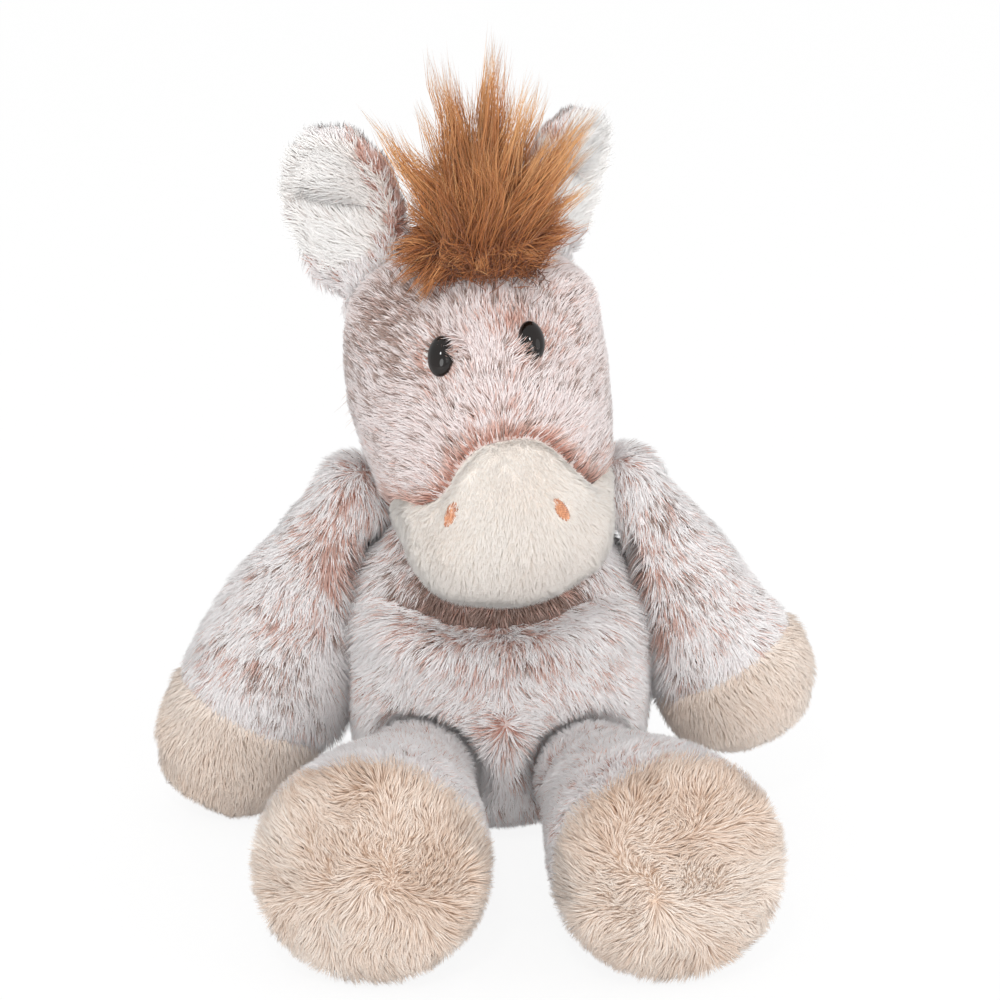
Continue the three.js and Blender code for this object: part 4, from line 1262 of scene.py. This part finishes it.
def neck_mane():
    core = remeshed("neck_mane_core", ["neck_mane"], 2.5, 6)
    verts, tris = arrays(core)
    normals = vertex_normals(verts, tris)
    outer = smoothstep(-0.4, 0.4, normals[:, 1])[:, None]
    toward_head = np.array([0.0, -NECK_MANE_CLOSER, 0.0])
    set_points(core, verts - normals * outer * NECK_MANE_SLIMMER + toward_head)
    hairy("neck_mane_strands", core, 13.0 * MM, np.array([0.0, 0.2, -1.0]), 73, "head")
    finish_piece(core, "head", MANE_CLOTH, "neck_mane")
    rng = np.random.default_rng(74)
    tips = np.array(NECK_WISPS, float) * MM
    roots = tips * np.array([0.42, 1.0, 1.0]) + np.array([0.0, 16.0, 12.0]) * MM
    shares = np.array([1.0, 0.75, 0.5])[:, None, None]
    tips = (roots + (tips - roots) * shares).reshape(-1, 3)
    roots = np.tile(roots, (3, 1))
    bulge = np.tile(np.array([-5.0, 5.0, 2.0]) * MM, (len(tips), 1))
    points, lock = lock_lines(roots, tips, bulge, 16, 1.6, 1.2, rng)
    plant_hair("neck_mane_wisps", points, lock, 0.28, 0.3, rng)


def tail():
    core = remeshed("tail_core", ["tail"], 2.5, 4)
    inset(core, 3.5 * MM)
    low, high = (np.array(corner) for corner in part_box("tail"))
    end = np.array([(low[0] + high[0]) / 2.0, high[1] - 6.0 * MM, low[2]])
    hairy("tail_strands", core, 12.0 * MM, unit(end - ORIGIN["tail"]), 75, "tail")
    finish_piece(core, "tail", MANE_CLOTH, "tail")


def pellet_bag():
    bag = remeshed("pellet_bag_cloth", ["pellet_bag"], 3.0, 4)
    inset(bag, 1.0 * MM)
    finish_piece(bag, "torso", BAG_CLOTH, "pellet_bag")


# Camera, stage and lights

CAMERA_TARGET = (6.55 * MM, 27.97 * MM, 118.0 * MM)
CAMERA_DISTANCE = 1150.0 * MM
CAMERA_ELEVATION = 18.0
CAMERA_LENS = 124.2
CAMERA_SHIFT = (-0.005, -0.002)
# These two are in metres.
CAMERA_REACH = 20.0
FLOOR_HALF = 3.0
STAGE_GLOW_SHARE = 0.9
WHITE = (1.0, 1.0, 1.0, 1.0)
ROOM_STRENGTH = 1.0
BACKGROUND_STRENGTH = 1.0
LAMP_AIM = (0.0, 0.0, 0.12)
# Each lamp's place and disc in metres, and its power in watts.
LAMPS = {
    "key": ((-0.15, -1.1, 1.2), 0.2, 4.2),
    "front": ((0.1, -1.15, 0.4), 0.6, 4.0),
    "fill": ((1.1, -0.7, 0.6), 0.9, 2.0)}


def set_camera():
    data = bpy.data.cameras.new("camera")
    data.lens = CAMERA_LENS
    data.shift_x, data.shift_y = CAMERA_SHIFT
    data.clip_end = CAMERA_REACH
    camera = link(bpy.data.objects.new("camera", data))
    rise = math.radians(CAMERA_ELEVATION)
    away = Vector((0.0, -math.cos(rise), math.sin(rise)))
    camera.location = Vector(CAMERA_TARGET) + away * CAMERA_DISTANCE
    camera.rotation_euler = (math.radians(90.0) - rise, 0.0, 0.0)
    bpy.context.scene.camera = camera


def stage_material():
    """White paper that keeps the object's shadow and glows white to the camera."""
    material, tree, shader = new_material("stage_paper", Roughness=0.9, Specular_IOR_Level=0.1)
    colour = ramp(tree, noise_factor(tree, 60.0, 3.0), [(0.3, (247, 247, 247)), (0.7, (250, 250, 250))])
    tree.links.new(colour, shader.inputs["Base Color"])
    surface = shader.outputs["BSDF"].links[0].to_socket
    path, glow, blend = (add_node(tree, kind) for kind in ("LightPath", "Emission", "MixShader"))
    share = add_node(tree, "Math")
    share.operation = "MULTIPLY"
    share.inputs[1].default_value = STAGE_GLOW_SHARE
    tree.links.new(path.outputs["Is Camera Ray"], share.inputs[0])
    tree.links.new(share.outputs["Value"], blend.inputs["Fac"])
    tree.links.new(shader.outputs["BSDF"], blend.inputs[1])
    tree.links.new(glow.outputs["Emission"], blend.inputs[2])
    tree.links.new(blend.outputs["Shader"], surface)
    return material


def stage():
    corners = np.array([(-1, -1, 0), (1, -1, 0), (1, 1, 0), (-1, 1, 0)]) * FLOOR_HALF
    floor = triangle_object("stage_floor", corners, np.array([(0, 1, 2), (0, 2, 3)]))
    floor.data.materials.append(stage_material())


def lamps():
    for name, (place, size, power) in LAMPS.items():
        data = bpy.data.lights.new(name, "AREA")
        data.shape = "DISK"
        data.size = size
        data.energy = power
        obj = link(bpy.data.objects.new(name, data))
        obj.location = place
        heading = Vector(LAMP_AIM) - Vector(place)
        obj.rotation_euler = heading.to_track_quat("-Z", "Y").to_euler()


def white_world():
    """An even white room, and the white background that the camera, gloss and glass see."""
    world = bpy.data.worlds.new("studio")
    bpy.context.scene.world = world
    world.use_nodes = True
    tree = world.node_tree
    tree.nodes.clear()
    room = add_node(tree, "Background", Color=WHITE, Strength=ROOM_STRENGTH)
    white = add_node(tree, "Background", Color=WHITE, Strength=BACKGROUND_STRENGTH)
    output, path, blend = (add_node(tree, kind) for kind in ("OutputWorld", "LightPath", "MixShader"))
    seen = path.outputs["Is Camera Ray"]
    for kind in ("Is Glossy Ray", "Is Transmission Ray"):
        either = add_node(tree, "Math")
        either.operation = "MAXIMUM"
        tree.links.new(seen, either.inputs[0])
        tree.links.new(path.outputs[kind], either.inputs[1])
        seen = either.outputs["Value"]
    tree.links.new(seen, blend.inputs["Fac"])
    tree.links.new(room.outputs["Background"], blend.inputs[1])
    tree.links.new(white.outputs["Background"], blend.inputs[2])
    tree.links.new(blend.outputs["Shader"], output.inputs["Surface"])


# The whole horse

torso()
neck()
arm("right_arm")
arm("left_arm")
leg("right_leg")
leg("left_leg")
head()
ear("right", 61)
ear("left", 62)
forelock()
neck_mane()
tail()
eyes()
pellet_bag()
set_camera()
stage()
lamps()
white_world()
bpy.context.scene.view_settings.view_transform = "Standard"
